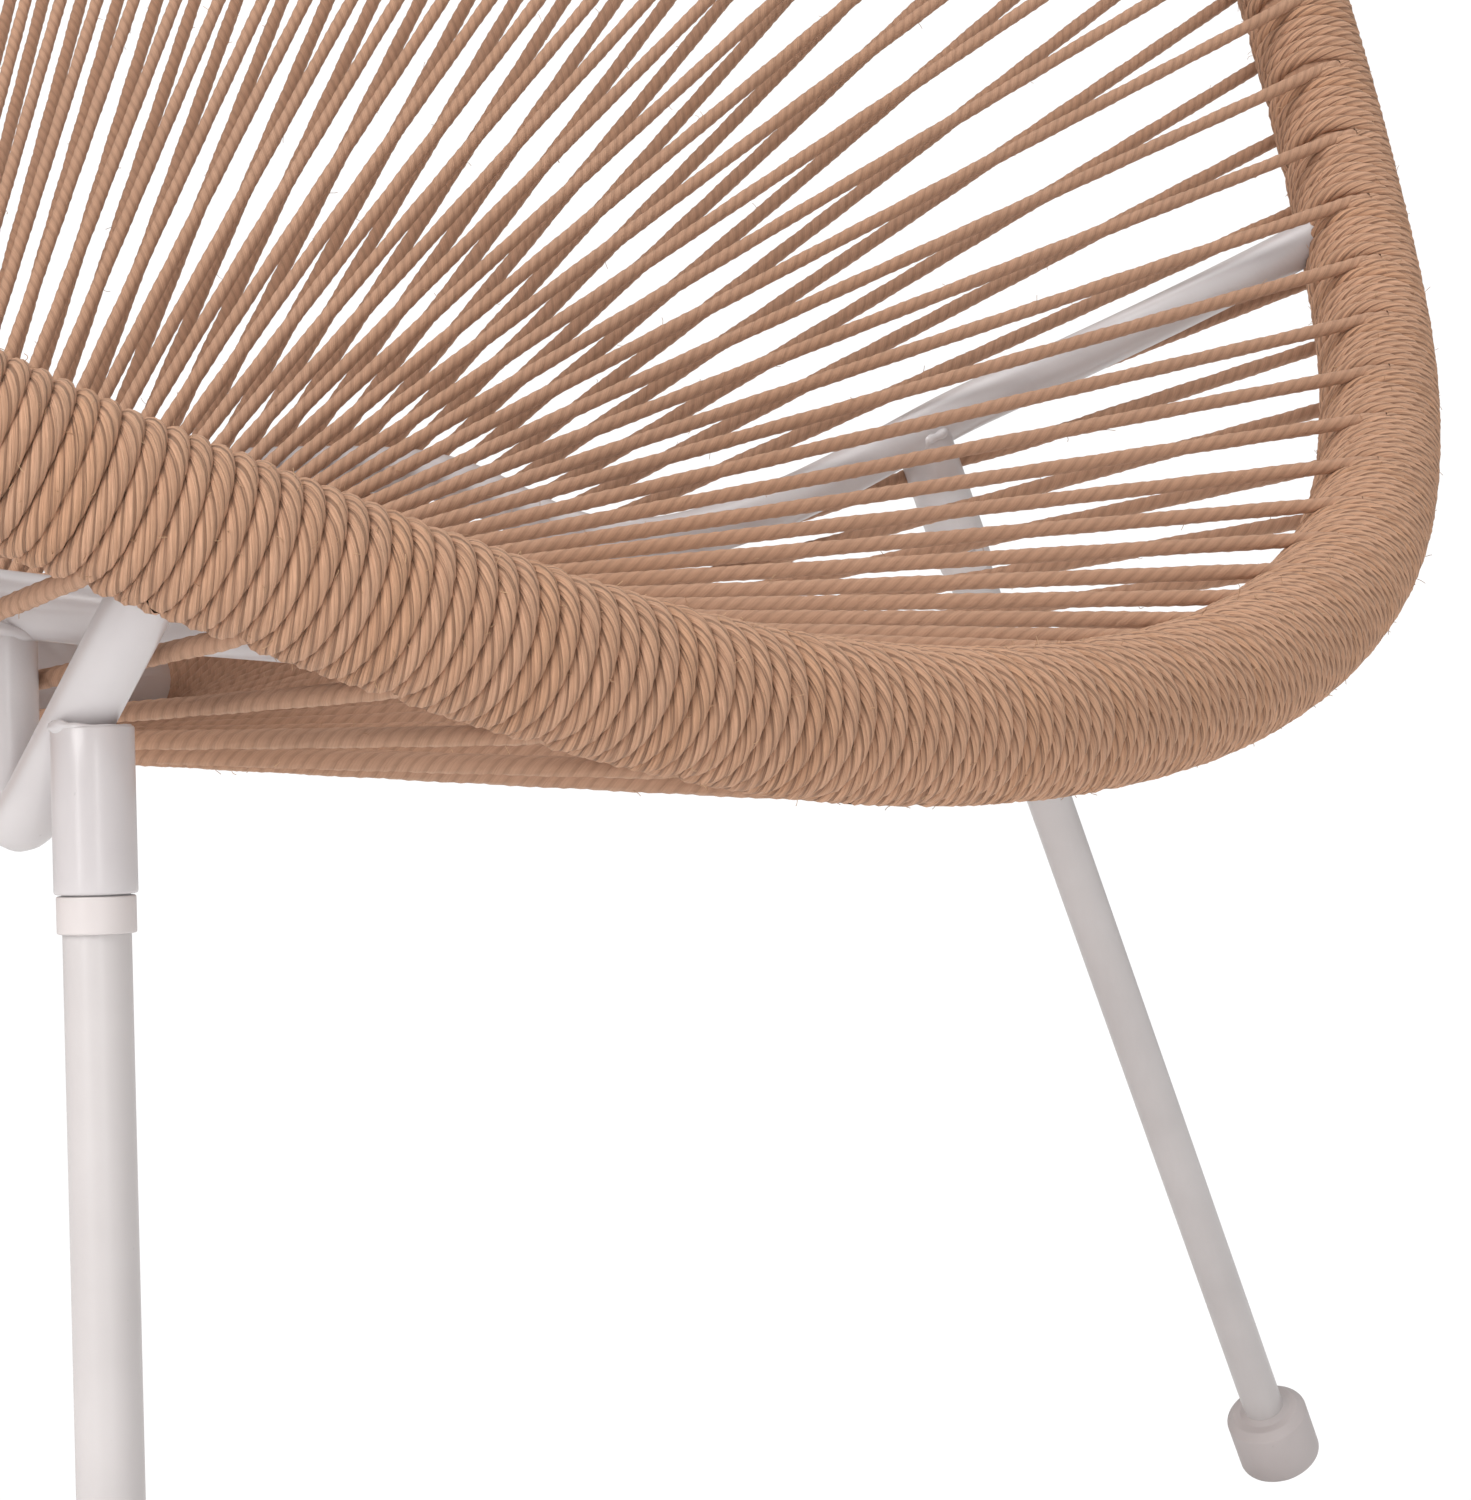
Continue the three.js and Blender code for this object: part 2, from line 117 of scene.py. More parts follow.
def cubic(b: np.ndarray, c: np.ndarray, start: np.ndarray, end: np.ndarray, weight: float) -> np.ndarray:
    """Works out a point between two others on a cubic curve.

    Args:
        b: Where the span starts.
        c: Where it ends.
        start: Slope at its start.
        end: Slope at its end.
        weight: Share of the way along.

    Returns:
        The point.
    """
    square = -3 * b + 3 * c - 2 * start - end
    cube = 2 * b - 2 * c + start + end
    return b + start * weight + square * weight**2 + cube * weight**3


def arc(start: np.ndarray, corner: np.ndarray, end: np.ndarray, t: float) -> np.ndarray:
    """Gives a point of the curve that cuts a corner."""
    return start * (1 - t) ** 2 + corner * 2 * t * (1 - t) + end * t**2


def evenly(points: np.ndarray, count: int) -> np.ndarray:
    """Spreads points evenly along a line.

    Args:
        points: The line's points.
        count: Number of spans to give.

    Returns:
        count + 1 points.
    """
    spans = np.linalg.norm(np.diff(points, axis=0), axis=1)
    travelled = np.concatenate([[0.0], np.cumsum(spans)])
    wanted = np.linspace(0, travelled[-1], count + 1)
    return np.stack([np.interp(wanted, travelled, points[:, k]) for k in range(3)], axis=1)


class HoopCurve:
    """The hoop's centre line: a closed centripetal spline, placed by the share of its length."""

    def __init__(self) -> None:
        front = -HOOP_DEPTH / 2
        half = [
            (HOOP_HALF_WIDTH * across, front + HOOP_DEPTH * along, HOOP_TOP * up)
            for across, along, up in HOOP_SHARES
        ]
        self._points = np.array(half + [(-x, y, z) for x, y, z in half[-2:0:-1]])
        self._steps = np.arange(HOOP_SAMPLES + 1) / HOOP_SAMPLES
        samples = np.array([self._raw(step) for step in self._steps])
        lengths = np.linalg.norm(np.diff(samples, axis=0), axis=1)
        self._travelled = np.concatenate([[0.0], np.cumsum(lengths)])
        self.length = float(self._travelled[-1])

    def _raw(self, t: float) -> np.ndarray:
        """Gives the spline at its own parameter.

        Args:
            t: The parameter, from 0 to 1.

        Returns:
            The point.
        """
        count = len(self._points)
        place = (t % 1.0) * count
        index = int(place)
        a, b, c, d = (self._points[(index + k) % count] for k in (-1, 0, 1, 2))
        spans = [float(np.linalg.norm(q - p)) ** 0.5 for p, q in ((a, b), (b, c), (c, d))]
        start = ((b - a) / spans[0] - (c - a) / (spans[0] + spans[1]) + (c - b) / spans[1]) * spans[1]
        end = ((c - b) / spans[1] - (d - b) / (spans[1] + spans[2]) + (d - c) / spans[2]) * spans[1]
        return cubic(b, c, start, end, place - index)

    def point(self, share: float) -> np.ndarray:
        """Gives the point at a share of the way round, 0 at the front and growing towards +X."""
        travelled = (share % 1.0) * self.length
        return self._raw(float(np.interp(travelled, self._travelled, self._steps)))

    def tangent(self, share: float) -> np.ndarray:
        """Gives the unit direction of growing share."""
        reach = 1 / HOOP_SAMPLES
        return unit(self.point(share + reach) - self.point(share - reach))

    def line(self, start: float, end: float, count: int) -> tuple[np.ndarray, np.ndarray]:
        """Gives evenly spread points of a stretch, and their shares of the way round."""
        shares = np.linspace(start, end, count)
        return np.array([self.point(share) for share in shares]), shares


class Field:
    """The ruled surface that the cord is strung on, from the ring to the hoop."""

    def __init__(self) -> None:
        self.hoop = HoopCurve()
        self.ring_centre = np.array([0.0, HOOP_DEPTH * (RING_DEPTH_SHARE - 0.5), RING_HEIGHT])

    def ring_point(self, share: float) -> np.ndarray:
        """Gives a point of the ring's centre line, by the share of the way round from the front."""
        angle = share * TURN - TURN / 4
        return self.ring_centre + RING_RADIUS * np.array([math.cos(angle), math.sin(angle), 0.0])

    def point(self, share: float, outward: float) -> np.ndarray:
        """Gives a place midway between the layers of cord: share round, and share from ring to hoop."""
        return self.ring_point(share) * (1 - outward) + self.hoop.point(share) * outward

    def hoop_axes(self, share: float) -> tuple[np.ndarray, np.ndarray]:
        """Gives the directions across the hoop: towards the ring, and towards the sitter."""
        tangent = self.hoop.tangent(share)
        inward = square_to(self.ring_point(share) - self.hoop.point(share), tangent)
        return inward, np.cross(tangent, inward)

    def ring_axes(self, share: float) -> tuple[np.ndarray, np.ndarray]:
        """Gives the directions across the ring: towards the hoop, and towards the sitter."""
        tangent = np.array([math.cos(share * TURN), math.sin(share * TURN), 0.0])
        outward = square_to(self.hoop.point(share) - self.ring_point(share), tangent)
        return outward, np.cross(outward, tangent)


def sink_share(outward: float) -> float:
    """Gives the share of its sink that a rod has: the whole at the brackets, none at the hoop."""
    fade = min(max((outward - BRACKET_INWARD_SHARE) / (1 - BRACKET_INWARD_SHARE), 0.0), 1.0)
    return 1 - fade * fade * (3 - 2 * fade)


BOW_SPANS = 160
BOW_FINENESS = 4


def bow_line(field: Field, shares: tuple, middle: float, sink: float = 0.0) -> np.ndarray:
    """Works out the centre line of a bowed cross rod.

    Args:
        field: The cord field that the rod lies in.
        shares: Places of the right half, from the hoop to the middle.
        middle: Share round the hoop of the rod's middle.
        sink: How far the rod lies under the middle of the layers.

    Returns:
        Points along the rod, evenly spread.
    """
    half = [np.array(place, float) for place in shares]
    places = half + [np.array([2 * middle - p[0], p[1]]) for p in half[-2::-1]]
    points = []
    count = BOW_SPANS * BOW_FINENESS
    for step in range(count + 1):
        along = step / count * (len(places) - 1)
        index = min(int(along), len(places) - 2)
        b, c = places[index], places[index + 1]
        a = places[index - 1] if index else b
        d = places[min(index + 2, len(places) - 1)]
        place = cubic(b, c, (c - a) / 2, (d - b) / 2, along - index)
        points.append(field.point(place[0], place[1]) - UP * sink * sink_share(place[1]))
    return evenly(np.array(points), BOW_SPANS)


# Node graphs

FLOAT, INT = "NodeSocketFloat", "NodeSocketInt"
GEOMETRY, MATERIAL = "NodeSocketGeometry", "NodeSocketMaterial"
GIRTH = "girth"


class Graph:
    """A short way to add nodes to a tree. A node stands for its first output."""

    def __init__(self, tree: bpy.types.NodeTree) -> None:
        self.tree = tree

    def fill(self, node: bpy.types.Node, inputs: dict) -> None:
        """Sets or links a node's inputs.

        Args:
            node: The node.
            inputs: Values, nodes or output sockets, by the input's name or index.
        """
        for key, value in inputs.items():
            source = value.outputs[0] if isinstance(value, bpy.types.Node) else value
            if isinstance(source, bpy.types.NodeSocket):
                self.tree.links.new(source, node.inputs[key])
            else:
                node.inputs[key].default_value = source

    def add(self, kind: str, inputs: dict | None = None, **settings) -> bpy.types.Node:
        """Adds a node.

        Args:
            kind: The node's type name.
            inputs: What goes into it, as fill takes it.
            **settings: The node's own settings.

        Returns:
            The new node.
        """
        node = self.tree.nodes.new(kind)
        for name, value in settings.items():
            setattr(node, name, value)
        self.fill(node, inputs or {})
        return node

    def math(self, operation: str, a, b=0.0, clamp: bool = False) -> bpy.types.NodeSocket:
        """Adds a sum of one or two values and gives its result."""
        return self.add("ShaderNodeMath", {0: a, 1: b}, operation=operation, use_clamp=clamp).outputs[0]

    def times(self, a, b) -> bpy.types.NodeSocket:
        """Adds a product and gives it."""
        return self.math("MULTIPLY", a, b)

    def contrast(self, a, b, factor: float) -> bpy.types.NodeSocket:
        """Gives the difference of two values times a factor, kept from 0 to 1."""
        return self.math("MULTIPLY", self.math("SUBTRACT", a, b), factor, clamp=True)

    def noise(self, where, scale, detail: float, distortion: float = 0.0) -> bpy.types.NodeSocket:
        """Adds a noise texture and gives its value."""
        given = {"Vector": where, "Scale": scale, "Detail": detail, "Distortion": distortion}
        return self.add("ShaderNodeTexNoise", given).outputs[0]

    def mix(self, share, a, b, blend: str = "MIX") -> bpy.types.NodeSocket:
        """Adds a mix of two colours and gives its result."""
        a, b = ((*colour, 1.0) if isinstance(colour, tuple) else colour for colour in (a, b))
        node = self.add("ShaderNodeMix", {0: share, 6: a, 7: b}, data_type="RGBA", blend_type=blend)
        return node.outputs[2]

    def dress(self, shape, material: bpy.types.NodeSocket, result: bpy.types.Node) -> None:
        """Gives a shape its material and sends it out of the group."""
        self.fill(result, {0: self.add("GeometryNodeSetMaterial", {"Geometry": shape, "Material": material})})


def new_group(name: str, kind: str, inputs: dict, outputs: tuple[str, ...]) -> tuple:
    """Starts a node group with its sockets.

    Args:
        name: The group's name.
        kind: The tree's type name.
        inputs: Default value by name, or the socket's type where there is none.
        outputs: Names of its outputs: geometry in a geometry group, else numbers.

    Returns:
        The tree, a Graph on it, its input sockets and its output node.
    """
    tree = bpy.data.node_groups.new(name, kind)
    for label, default in inputs.items():
        socket = default if isinstance(default, str) else INT if isinstance(default, int) else FLOAT
        item = tree.interface.new_socket(label, in_out="INPUT", socket_type=socket)
        if socket != default:
            item.default_value = default
    for label in outputs:
        socket = GEOMETRY if kind == "GeometryNodeTree" else FLOAT
        tree.interface.new_socket(label, in_out="OUTPUT", socket_type=socket)
    graph = Graph(tree)
    return tree, graph, graph.add("NodeGroupInput").outputs, graph.add("NodeGroupOutput")


def apply_nodes(obj: bpy.types.Object, tree: bpy.types.NodeTree, values: dict) -> None:
    """Runs a node group on an object and keeps the result as its plain mesh.

    Args:
        obj: The object whose mesh goes in.
        tree: The geometry node group.
        values: Input values by socket name.
    """
    modifier = obj.modifiers.new("shape", "NODES")
    modifier.node_group = tree
    names = {s.name: s.identifier for s in tree.interface.items_tree if s.item_type == "SOCKET"}
    for label, value in values.items():
        modifier[names[label]] = value
    graph = bpy.context.evaluated_depsgraph_get()
    mesh = bpy.data.meshes.new_from_object(obj.evaluated_get(graph), depsgraph=graph)
    old = obj.data
    obj.modifiers.clear()
    obj.data = mesh
    bpy.data.meshes.remove(old)


def make_sweep_nodes() -> bpy.types.NodeTree:
    """Makes the group that sweeps a twisted, lobed section along a line of edges.

    Returns:
        The geometry node group. With no lobes and no twist it makes a plain round tube.
    """
    tree, graph, given, result = new_group(
        "Twisted sweep",
        "GeometryNodeTree",
        {"Line": GEOMETRY, "Step": 0.002, "Radius": 0.0024, "Lobe depth": 0.0, "Lobes": 3.0,
         "Twist pitch": 0.02, "Twist": 0.0, "Section points": 13, "Material": MATERIAL},
        ("Mesh",),
    )
    line = graph.add("GeometryNodeMeshToCurve", {"Mesh": given["Line"]})
    even = graph.add("GeometryNodeResampleCurve", {"Curve": line, "Length": given["Step"]}, mode="LENGTH")
    length = graph.add("GeometryNodeSplineParameter").outputs["Length"]
    turns = graph.math("DIVIDE", length, given["Twist pitch"])
    angle = graph.times(graph.times(turns, TURN), given["Twist"])
    tilted = graph.add("GeometryNodeSetCurveTilt", {"Curve": even, "Tilt": angle})
    along = graph.add("GeometryNodeCaptureAttribute", {"Geometry": tilted})
    along.capture_items.new("FLOAT", "Along")
    graph.fill(along, {1: turns})

    section = graph.add(
        "GeometryNodeCurveArc",
        {"Resolution": given["Section points"], "Radius": given["Radius"], "Sweep Angle": TURN},
        mode="RADIUS",
    )
    around = graph.add("GeometryNodeCaptureAttribute", {"Geometry": section})
    around.capture_items.new("FLOAT", "Around")
    share = graph.add("GeometryNodeSplineParameter").outputs["Factor"]
    graph.fill(around, {1: share})
    wave = graph.math("COSINE", graph.times(graph.times(share, TURN), given["Lobes"]))
    size = graph.math("SUBTRACT", 1.0, graph.times(wave, given["Lobe depth"]))
    place = graph.add("GeometryNodeInputPosition")
    lobed = graph.add("ShaderNodeVectorMath", {0: place, "Scale": size}, operation="SCALE")
    shaped = graph.add("GeometryNodeSetPosition", {"Geometry": around, "Position": lobed})

    girth = graph.add("GeometryNodeInputNamedAttribute", {"Name": GIRTH}, data_type="FLOAT")
    swept = graph.add("GeometryNodeCurveToMesh", {"Curve": along, "Profile Curve": shaped, "Scale": girth})
    uv = graph.add("ShaderNodeCombineXYZ", {0: around.outputs[1], 1: along.outputs[1]})
    mapped = graph.add(
        "GeometryNodeStoreNamedAttribute", {"Geometry": swept, "Name": "UVMap", "Value": uv},
        data_type="FLOAT2", domain="CORNER",
    )
    smooth = graph.add("GeometryNodeSetShadeSmooth", {"Geometry": mapped})
    real = graph.add("GeometryNodeRealizeInstances", {"Geometry": smooth})
    graph.dress(real, given["Material"], result)
    return tree


def make_fuzz_nodes() -> bpy.types.NodeTree:
    """Makes the group that grows short bent hairs out of a surface.

    Returns:
        The geometry node group: the hairs alone, without the surface.
    """
    tree, graph, given, result = new_group(
        "Cord fuzz",
        "GeometryNodeTree",
        {"Surface": GEOMETRY, "Density": 1000.0, "Length": 0.003, "Thickness": 0.00005, "Curl": 0.002,
         "Seed": 7, "Material": MATERIAL},
        ("Mesh",),
    )
    seed = given["Seed"]
    spread = graph.add(
        "GeometryNodeDistributePointsOnFaces",
        {"Mesh": given["Surface"], "Density": given["Density"], "Seed": seed},
    )
    lean = graph.add(
        "FunctionNodeRandomValue", {0: (-1.1, -1.1, 0.0), 1: (1.1, 1.1, TURN), "Seed": seed},
        data_type="FLOAT_VECTOR",
    )
    turned = graph.add(
        "FunctionNodeRotateRotation",
        {0: spread.outputs["Rotation"], 1: graph.add("FunctionNodeEulerToRotation", {0: lean})},
        rotation_space="LOCAL",
    )
    size = graph.add("FunctionNodeRandomValue", {2: 0.25, 3: 1.0, "Seed": seed}, data_type="FLOAT")
    tip = graph.add("ShaderNodeCombineXYZ", {2: given["Length"]})
    straight = graph.add("GeometryNodeCurvePrimitiveLine", {"End": tip})
    hair = graph.add("GeometryNodeResampleCurve", {"Curve": straight, "Count": 5}, mode="COUNT")
    grown = graph.add(
        "GeometryNodeInstanceOnPoints",
        {"Points": spread.outputs["Points"], "Instance": hair, "Rotation": turned,
         "Scale": size.outputs[1]},
    )
    real = graph.add("GeometryNodeRealizeInstances", {"Geometry": grown})
    place = graph.add("GeometryNodeInputPosition")
    noise = graph.add("ShaderNodeTexNoise", {"Vector": place, "Scale": 320.0, "Detail": 0.0})
    centred = graph.add(
        "ShaderNodeVectorMath", {0: noise.outputs["Color"], 1: (0.5, 0.5, 0.5)}, operation="SUBTRACT"
    )
    along = graph.add("GeometryNodeSplineParameter").outputs["Factor"]
    reach = graph.times(graph.math("POWER", along, 1.5), given["Curl"])
    push = graph.add("ShaderNodeVectorMath", {0: centred, "Scale": reach}, operation="SCALE")
    bent = graph.add("GeometryNodeSetPosition", {"Geometry": real, "Offset": push})
    section = graph.add(
        "GeometryNodeCurvePrimitiveCircle", {"Resolution": 3, "Radius": given["Thickness"]}, mode="RADIUS"
    )
    solid = graph.add("GeometryNodeCurveToMesh", {"Curve": bent, "Profile Curve": section})
    smooth = graph.add("GeometryNodeSetShadeSmooth", {"Geometry": solid})
    graph.dress(smooth, given["Material"], result)
    return tree


# Materials

Colour = tuple[float, float, float]


class Finish(Enum):
    """The finishes of the chair, by the record's material slot."""

    COAT = "coat"
    CORD = "cord"
    STEEL = "steel"
    BUSH = "bush"
    FOOT = "foot"


@dataclass(frozen=True)
class CoatLook:
    """Powder coat, moulded plastic or bare steel: colours are linear, sizes in metres."""

    colour: Colour
    shade: Colour
    roughness: float
    peel: float
    peel_size: float
    speck_share: float
    coat: float = 0.0
    metallic: float = 0.0
    coat_roughness: float = 0.25
    bump_depth: float = 0.00008


@dataclass(frozen=True)
class CordLook:
    """Twisted fibre cord: colours are linear, the bump's depth in metres."""

    ridge: Colour = (0.64, 0.39, 0.27)
    warm: Colour = (0.60, 0.335, 0.205)
    # groove: painted shade in the hollows between the plies
    groove_shade: Colour = (0.19, 0.10, 0.06)
    # dark_fibre_and_rib_shade: dark streaks of fibre, and painted shade in the hollows of the fine ribs
    dark_fibre_and_rib_shade: Colour = (0.35, 0.18, 0.10)
    roughness: float = 0.8
    specular: float = 0.35
    sheen: float = 0.22
    sheen_roughness: float = 0.45
    sheen_tint: Colour = (0.85, 0.62, 0.45)
    streaks_around: float = 6.5
    streaks_along: float = 1.6
    lobes: float = 6.0
    # Painted shade between the plies: how narrow it is, and how much of it
    groove_shade_power: float = 5.0
    groove_shade_share: float = 0.85
    # Painted shade in the hollows of the fine ribs: how narrow it is, and how much of it
    rib_shade_power: float = 2.2
    rib_shade_share: float = 0.35
    streak_share: float = 0.8
    bump: float = 1.0
    bump_depth: float = 0.0005


COAT_LOOK = CoatLook((0.63, 0.60, 0.602), (0.565, 0.53, 0.535), 0.30, 0.4, 0.0016, 0.03, coat=0.35)
# The leg tubes take a darker copy of the powder coat: painted shade on the legs
SHADED_LEG_LOOK = CoatLook((0.59, 0.555, 0.55), (0.54, 0.505, 0.50), 0.32, 0.3, 0.0016, 0.02, coat=0.15)
BUSH_LOOK = CoatLook((0.67, 0.62, 0.61), (0.61, 0.56, 0.55), 0.40, 0.10, 0.0030, 0.02)
FOOT_LOOK = CoatLook((0.565, 0.512, 0.505), (0.49, 0.445, 0.44), 0.50, 0.16, 0.0022, 0.03)
STEEL_LOOK = CoatLook((0.45, 0.45, 0.46), (0.33, 0.33, 0.34), 0.42, 0.2, 0.0006, 0.05, metallic=1.0)
WOUND_LOOK = CordLook()
# The strung cord is the wound cord with darker ridge and warm colours: painted shade on the strands and the
# under winding
SHADED_STRUNG_LOOK = CordLook(
    ridge=(0.515, 0.305, 0.205), warm=(0.48, 0.27, 0.17), groove_shade=(0.25, 0.135, 0.082),
    dark_fibre_and_rib_shade=(0.35, 0.197, 0.12), streaks_along=0.8, lobes=3.0, groove_shade_power=3.0,
    groove_shade_share=0.45, rib_shade_share=0.3, streak_share=0.45, bump=0.5,
)


def make_peel_nodes() -> bpy.types.NodeTree:
    """Makes the shader group for the fine unevenness of a coated or moulded surface.

    Returns:
        The group: a tone, a mask of specks, and the height for a bump.
    """
    tree, graph, given, result = new_group(
        "Coated surface", "ShaderNodeTree", {"Peel size": 0.0016, "Speck share": 0.03},
        ("Tone", "Specks", "Height"),
    )
    where = graph.add("ShaderNodeTexCoord").outputs["Object"]
    peel = graph.noise(where, graph.math("DIVIDE", 1.0, given["Peel size"]), 1.0)
    fine = graph.times(graph.noise(where, 2600.0, 0.0), 0.22)
    limit = graph.math("SUBTRACT", 0.78, given["Speck share"])
    graph.fill(result, {
        "Tone": graph.noise(where, 34.0, 3.0),
        "Specks": graph.contrast(graph.noise(where, 420.0, 2.0), limit, 14.0),
        "Height": graph.math("ADD", peel, fine),
    })
    return tree


def make_fibre_nodes() -> bpy.types.NodeTree:
    """Makes the shader group for laid fibre: plies and streaks that run along a twisted cord.

    Returns:
        The group: streak, ply ridge, fine rib and tone masks, and the height for a bump.
    """
    tree, graph, given, result = new_group(
        "Laid fibre", "ShaderNodeTree", {"Lobes": 3.0, "Around": 7.0, "Along": 1.6},
        ("Streak", "Ridge", "Rib", "Tone", "Height"),
    )
    uv = graph.add("ShaderNodeUVMap", uv_map="UVMap")
    around, along, _ = graph.add("ShaderNodeSeparateXYZ", {0: uv}).outputs
    angle = graph.times(around, TURN)
    where = graph.add("ShaderNodeCombineXYZ", {
        0: graph.times(graph.math("COSINE", angle), given["Around"]),
        1: graph.times(graph.math("SINE", angle), given["Around"]),
        2: graph.times(along, given["Along"]),
    })
    broad = graph.noise(where, 1.0, 2.0, 0.25)
    fine = graph.noise(where, 3.1, 1.0)
    streak = graph.math("ADD", graph.times(broad, 0.6), graph.times(fine, 0.4))
    strayed = graph.math("ADD", graph.times(angle, given["Lobes"]), graph.times(broad, 4.0))
    plies = graph.math("COSINE", graph.math("SUBTRACT", strayed, 2.0))
    ridge = graph.math("SUBTRACT", 0.5, graph.times(plies, 0.5))
    ribs = graph.math("COSINE", graph.math("ADD", graph.times(angle, 13.0), graph.times(broad, 9.0)))
    rib = graph.math("ADD", 0.5, graph.times(ribs, 0.5))
    slow = graph.add("ShaderNodeCombineXYZ", {2: graph.times(along, 0.09)})
    ribbed = graph.math("ADD", graph.times(graph.math("POWER", ridge, 0.5), 0.5), graph.times(rib, 0.3))
    graph.fill(result, {
        "Streak": streak, "Ridge": ridge, "Rib": rib, "Tone": graph.noise(slow, 1.0, 2.0),
        "Height": graph.math("ADD", ribbed, graph.times(streak, 0.9)),
    })
    return tree


class Palette:
    """The chair's materials."""

    def __init__(self) -> None:
        self._peel = make_peel_nodes()
        self._fibre = make_fibre_nodes()
        self.by_finish = {
            Finish.COAT: self._coated("powder coat", COAT_LOOK),
            Finish.CORD: self._corded("wound fibre", WOUND_LOOK),
            Finish.STEEL: self._coated("drawn steel", STEEL_LOOK),
            Finish.BUSH: self._coated("moulded collar", BUSH_LOOK),
            Finish.FOOT: self._coated("moulded foot", FOOT_LOOK),
        }
        # Painted shade: the strung cord's fibre is a darker copy of the wound cord's
        self.strung = self._corded("strung fibre", SHADED_STRUNG_LOOK)
        # Painted shade: the leg tubes' coat is darker than the frame's
        self.leg = self._coated("leg powder coat", SHADED_LEG_LOOK)
        self.fuzz = self._fuzzy("loose fibre")

    def of(self, finish: Finish) -> bpy.types.Material:
        """Gives a finish's material."""
        return self.by_finish[finish]

    @staticmethod
    def start(name: str) -> tuple[bpy.types.Material, Graph, bpy.types.Node]:
        """Starts a material, and gives it with its graph and its Principled shader.

        Args:
            name: The material's name.

        Returns:
            The material, its graph and its shader.
        """
        material = bpy.data.materials.new(name)
        material.use_nodes = True
        return material, Graph(material.node_tree), material.node_tree.nodes["Principled BSDF"]

    def _coated(self, name: str, look: CoatLook) -> bpy.types.Material:
        """Makes a powder-coated, moulded or bare finish.

        Args:
            name: The material's name.
            look: Its colours and unevenness.

        Returns:
            The material.
        """
        material, graph, shader = self.start(name)
        surface = graph.add("ShaderNodeGroup", node_tree=self._peel)
        graph.fill(surface, {"Peel size": look.peel_size, "Speck share": look.speck_share})
        tone, specks, height = surface.outputs
        body = graph.mix(graph.contrast(tone, 0.35, 2.6), look.shade, look.colour)
        speck = tuple(v * 0.45 for v in look.shade)
        bump = {"Strength": look.peel, "Distance": look.bump_depth, "Height": height}
        graph.fill(shader, {
            "Base Color": graph.mix(graph.times(specks, 0.35), body, speck),
            "Metallic": look.metallic,
            "Roughness": graph.math("ADD", look.roughness - 0.05, graph.times(tone, 0.1)),
            "Coat Weight": look.coat,
            "Coat Roughness": look.coat_roughness,
            "Normal": graph.add("ShaderNodeBump", bump),
        })
        return material

    def _corded(self, name: str, look: CordLook) -> bpy.types.Material:
        """Makes the twisted fibre of the cord, with painted shade in the hollows between its plies and of its
        fine ribs.

        Args:
            name: The material's name.
            look: Its colours and the fineness of its fibre.

        Returns:
            The material.
        """
        material, graph, shader = self.start(name)
        fibre = graph.add("ShaderNodeGroup", node_tree=self._fibre)
        graph.fill(fibre, {"Lobes": look.lobes, "Around": look.streaks_around, "Along": look.streaks_along})
        streak, ridge, rib, tone, height = fibre.outputs
        colour = graph.mix(graph.contrast(tone, 0.36, 3.2), look.warm, look.ridge)
        streaks = graph.times(graph.contrast(0.52, streak, 4.0), look.streak_share)
        colour = graph.mix(streaks, colour, look.dark_fibre_and_rib_shade)
        # Painted shade: the hollows between the plies take the groove colour, those of the fine ribs the dark
        # fibre colour
        for mask, power, share, dark in (
            (ridge, look.groove_shade_power, look.groove_shade_share, look.groove_shade),
            (rib, look.rib_shade_power, look.rib_shade_share, look.dark_fibre_and_rib_shade),
        ):
            painted_shade = graph.math("POWER", graph.math("SUBTRACT", 1.0, mask), power)
            colour = graph.mix(graph.times(painted_shade, share), colour, dark)
        where = graph.add("ShaderNodeTexCoord").outputs["Object"]
        level = graph.math("ADD", 0.86, graph.times(graph.noise(where, 9.0, 2.0), 0.26))
        shade = graph.add("ShaderNodeCombineColor", {0: level, 1: level, 2: level}).outputs[0]
        bump = {"Strength": look.bump, "Distance": look.bump_depth, "Height": height}
        graph.fill(shader, {
            "Base Color": graph.mix(1.0, colour, shade, "MULTIPLY"),
            "Roughness": look.roughness,
            "Specular IOR Level": look.specular,
            "Sheen Weight": look.sheen,
            "Sheen Roughness": look.sheen_roughness,
            "Sheen Tint": (*look.sheen_tint, 1.0),
            "Normal": graph.add("ShaderNodeBump", bump),
        })
        return material

    def _fuzzy(self, name: str) -> bpy.types.Material:
        """Makes the loose hairs: a paler tone of the cord, which varies from place to place.

        Args:
            name: The material's name.

        Returns:
            The material.
        """
        material, graph, shader = self.start(name)
        where = graph.add("ShaderNodeTexCoord").outputs["Object"]
        share = graph.contrast(graph.noise(where, 160.0, 0.0), 0.3, 2.5)
        colour = graph.mix(share, (0.36, 0.19, 0.10), (0.62, 0.40, 0.24))
        graph.fill(shader, {"Base Color": colour, "Roughness": 0.7})
        return material


# Meshes


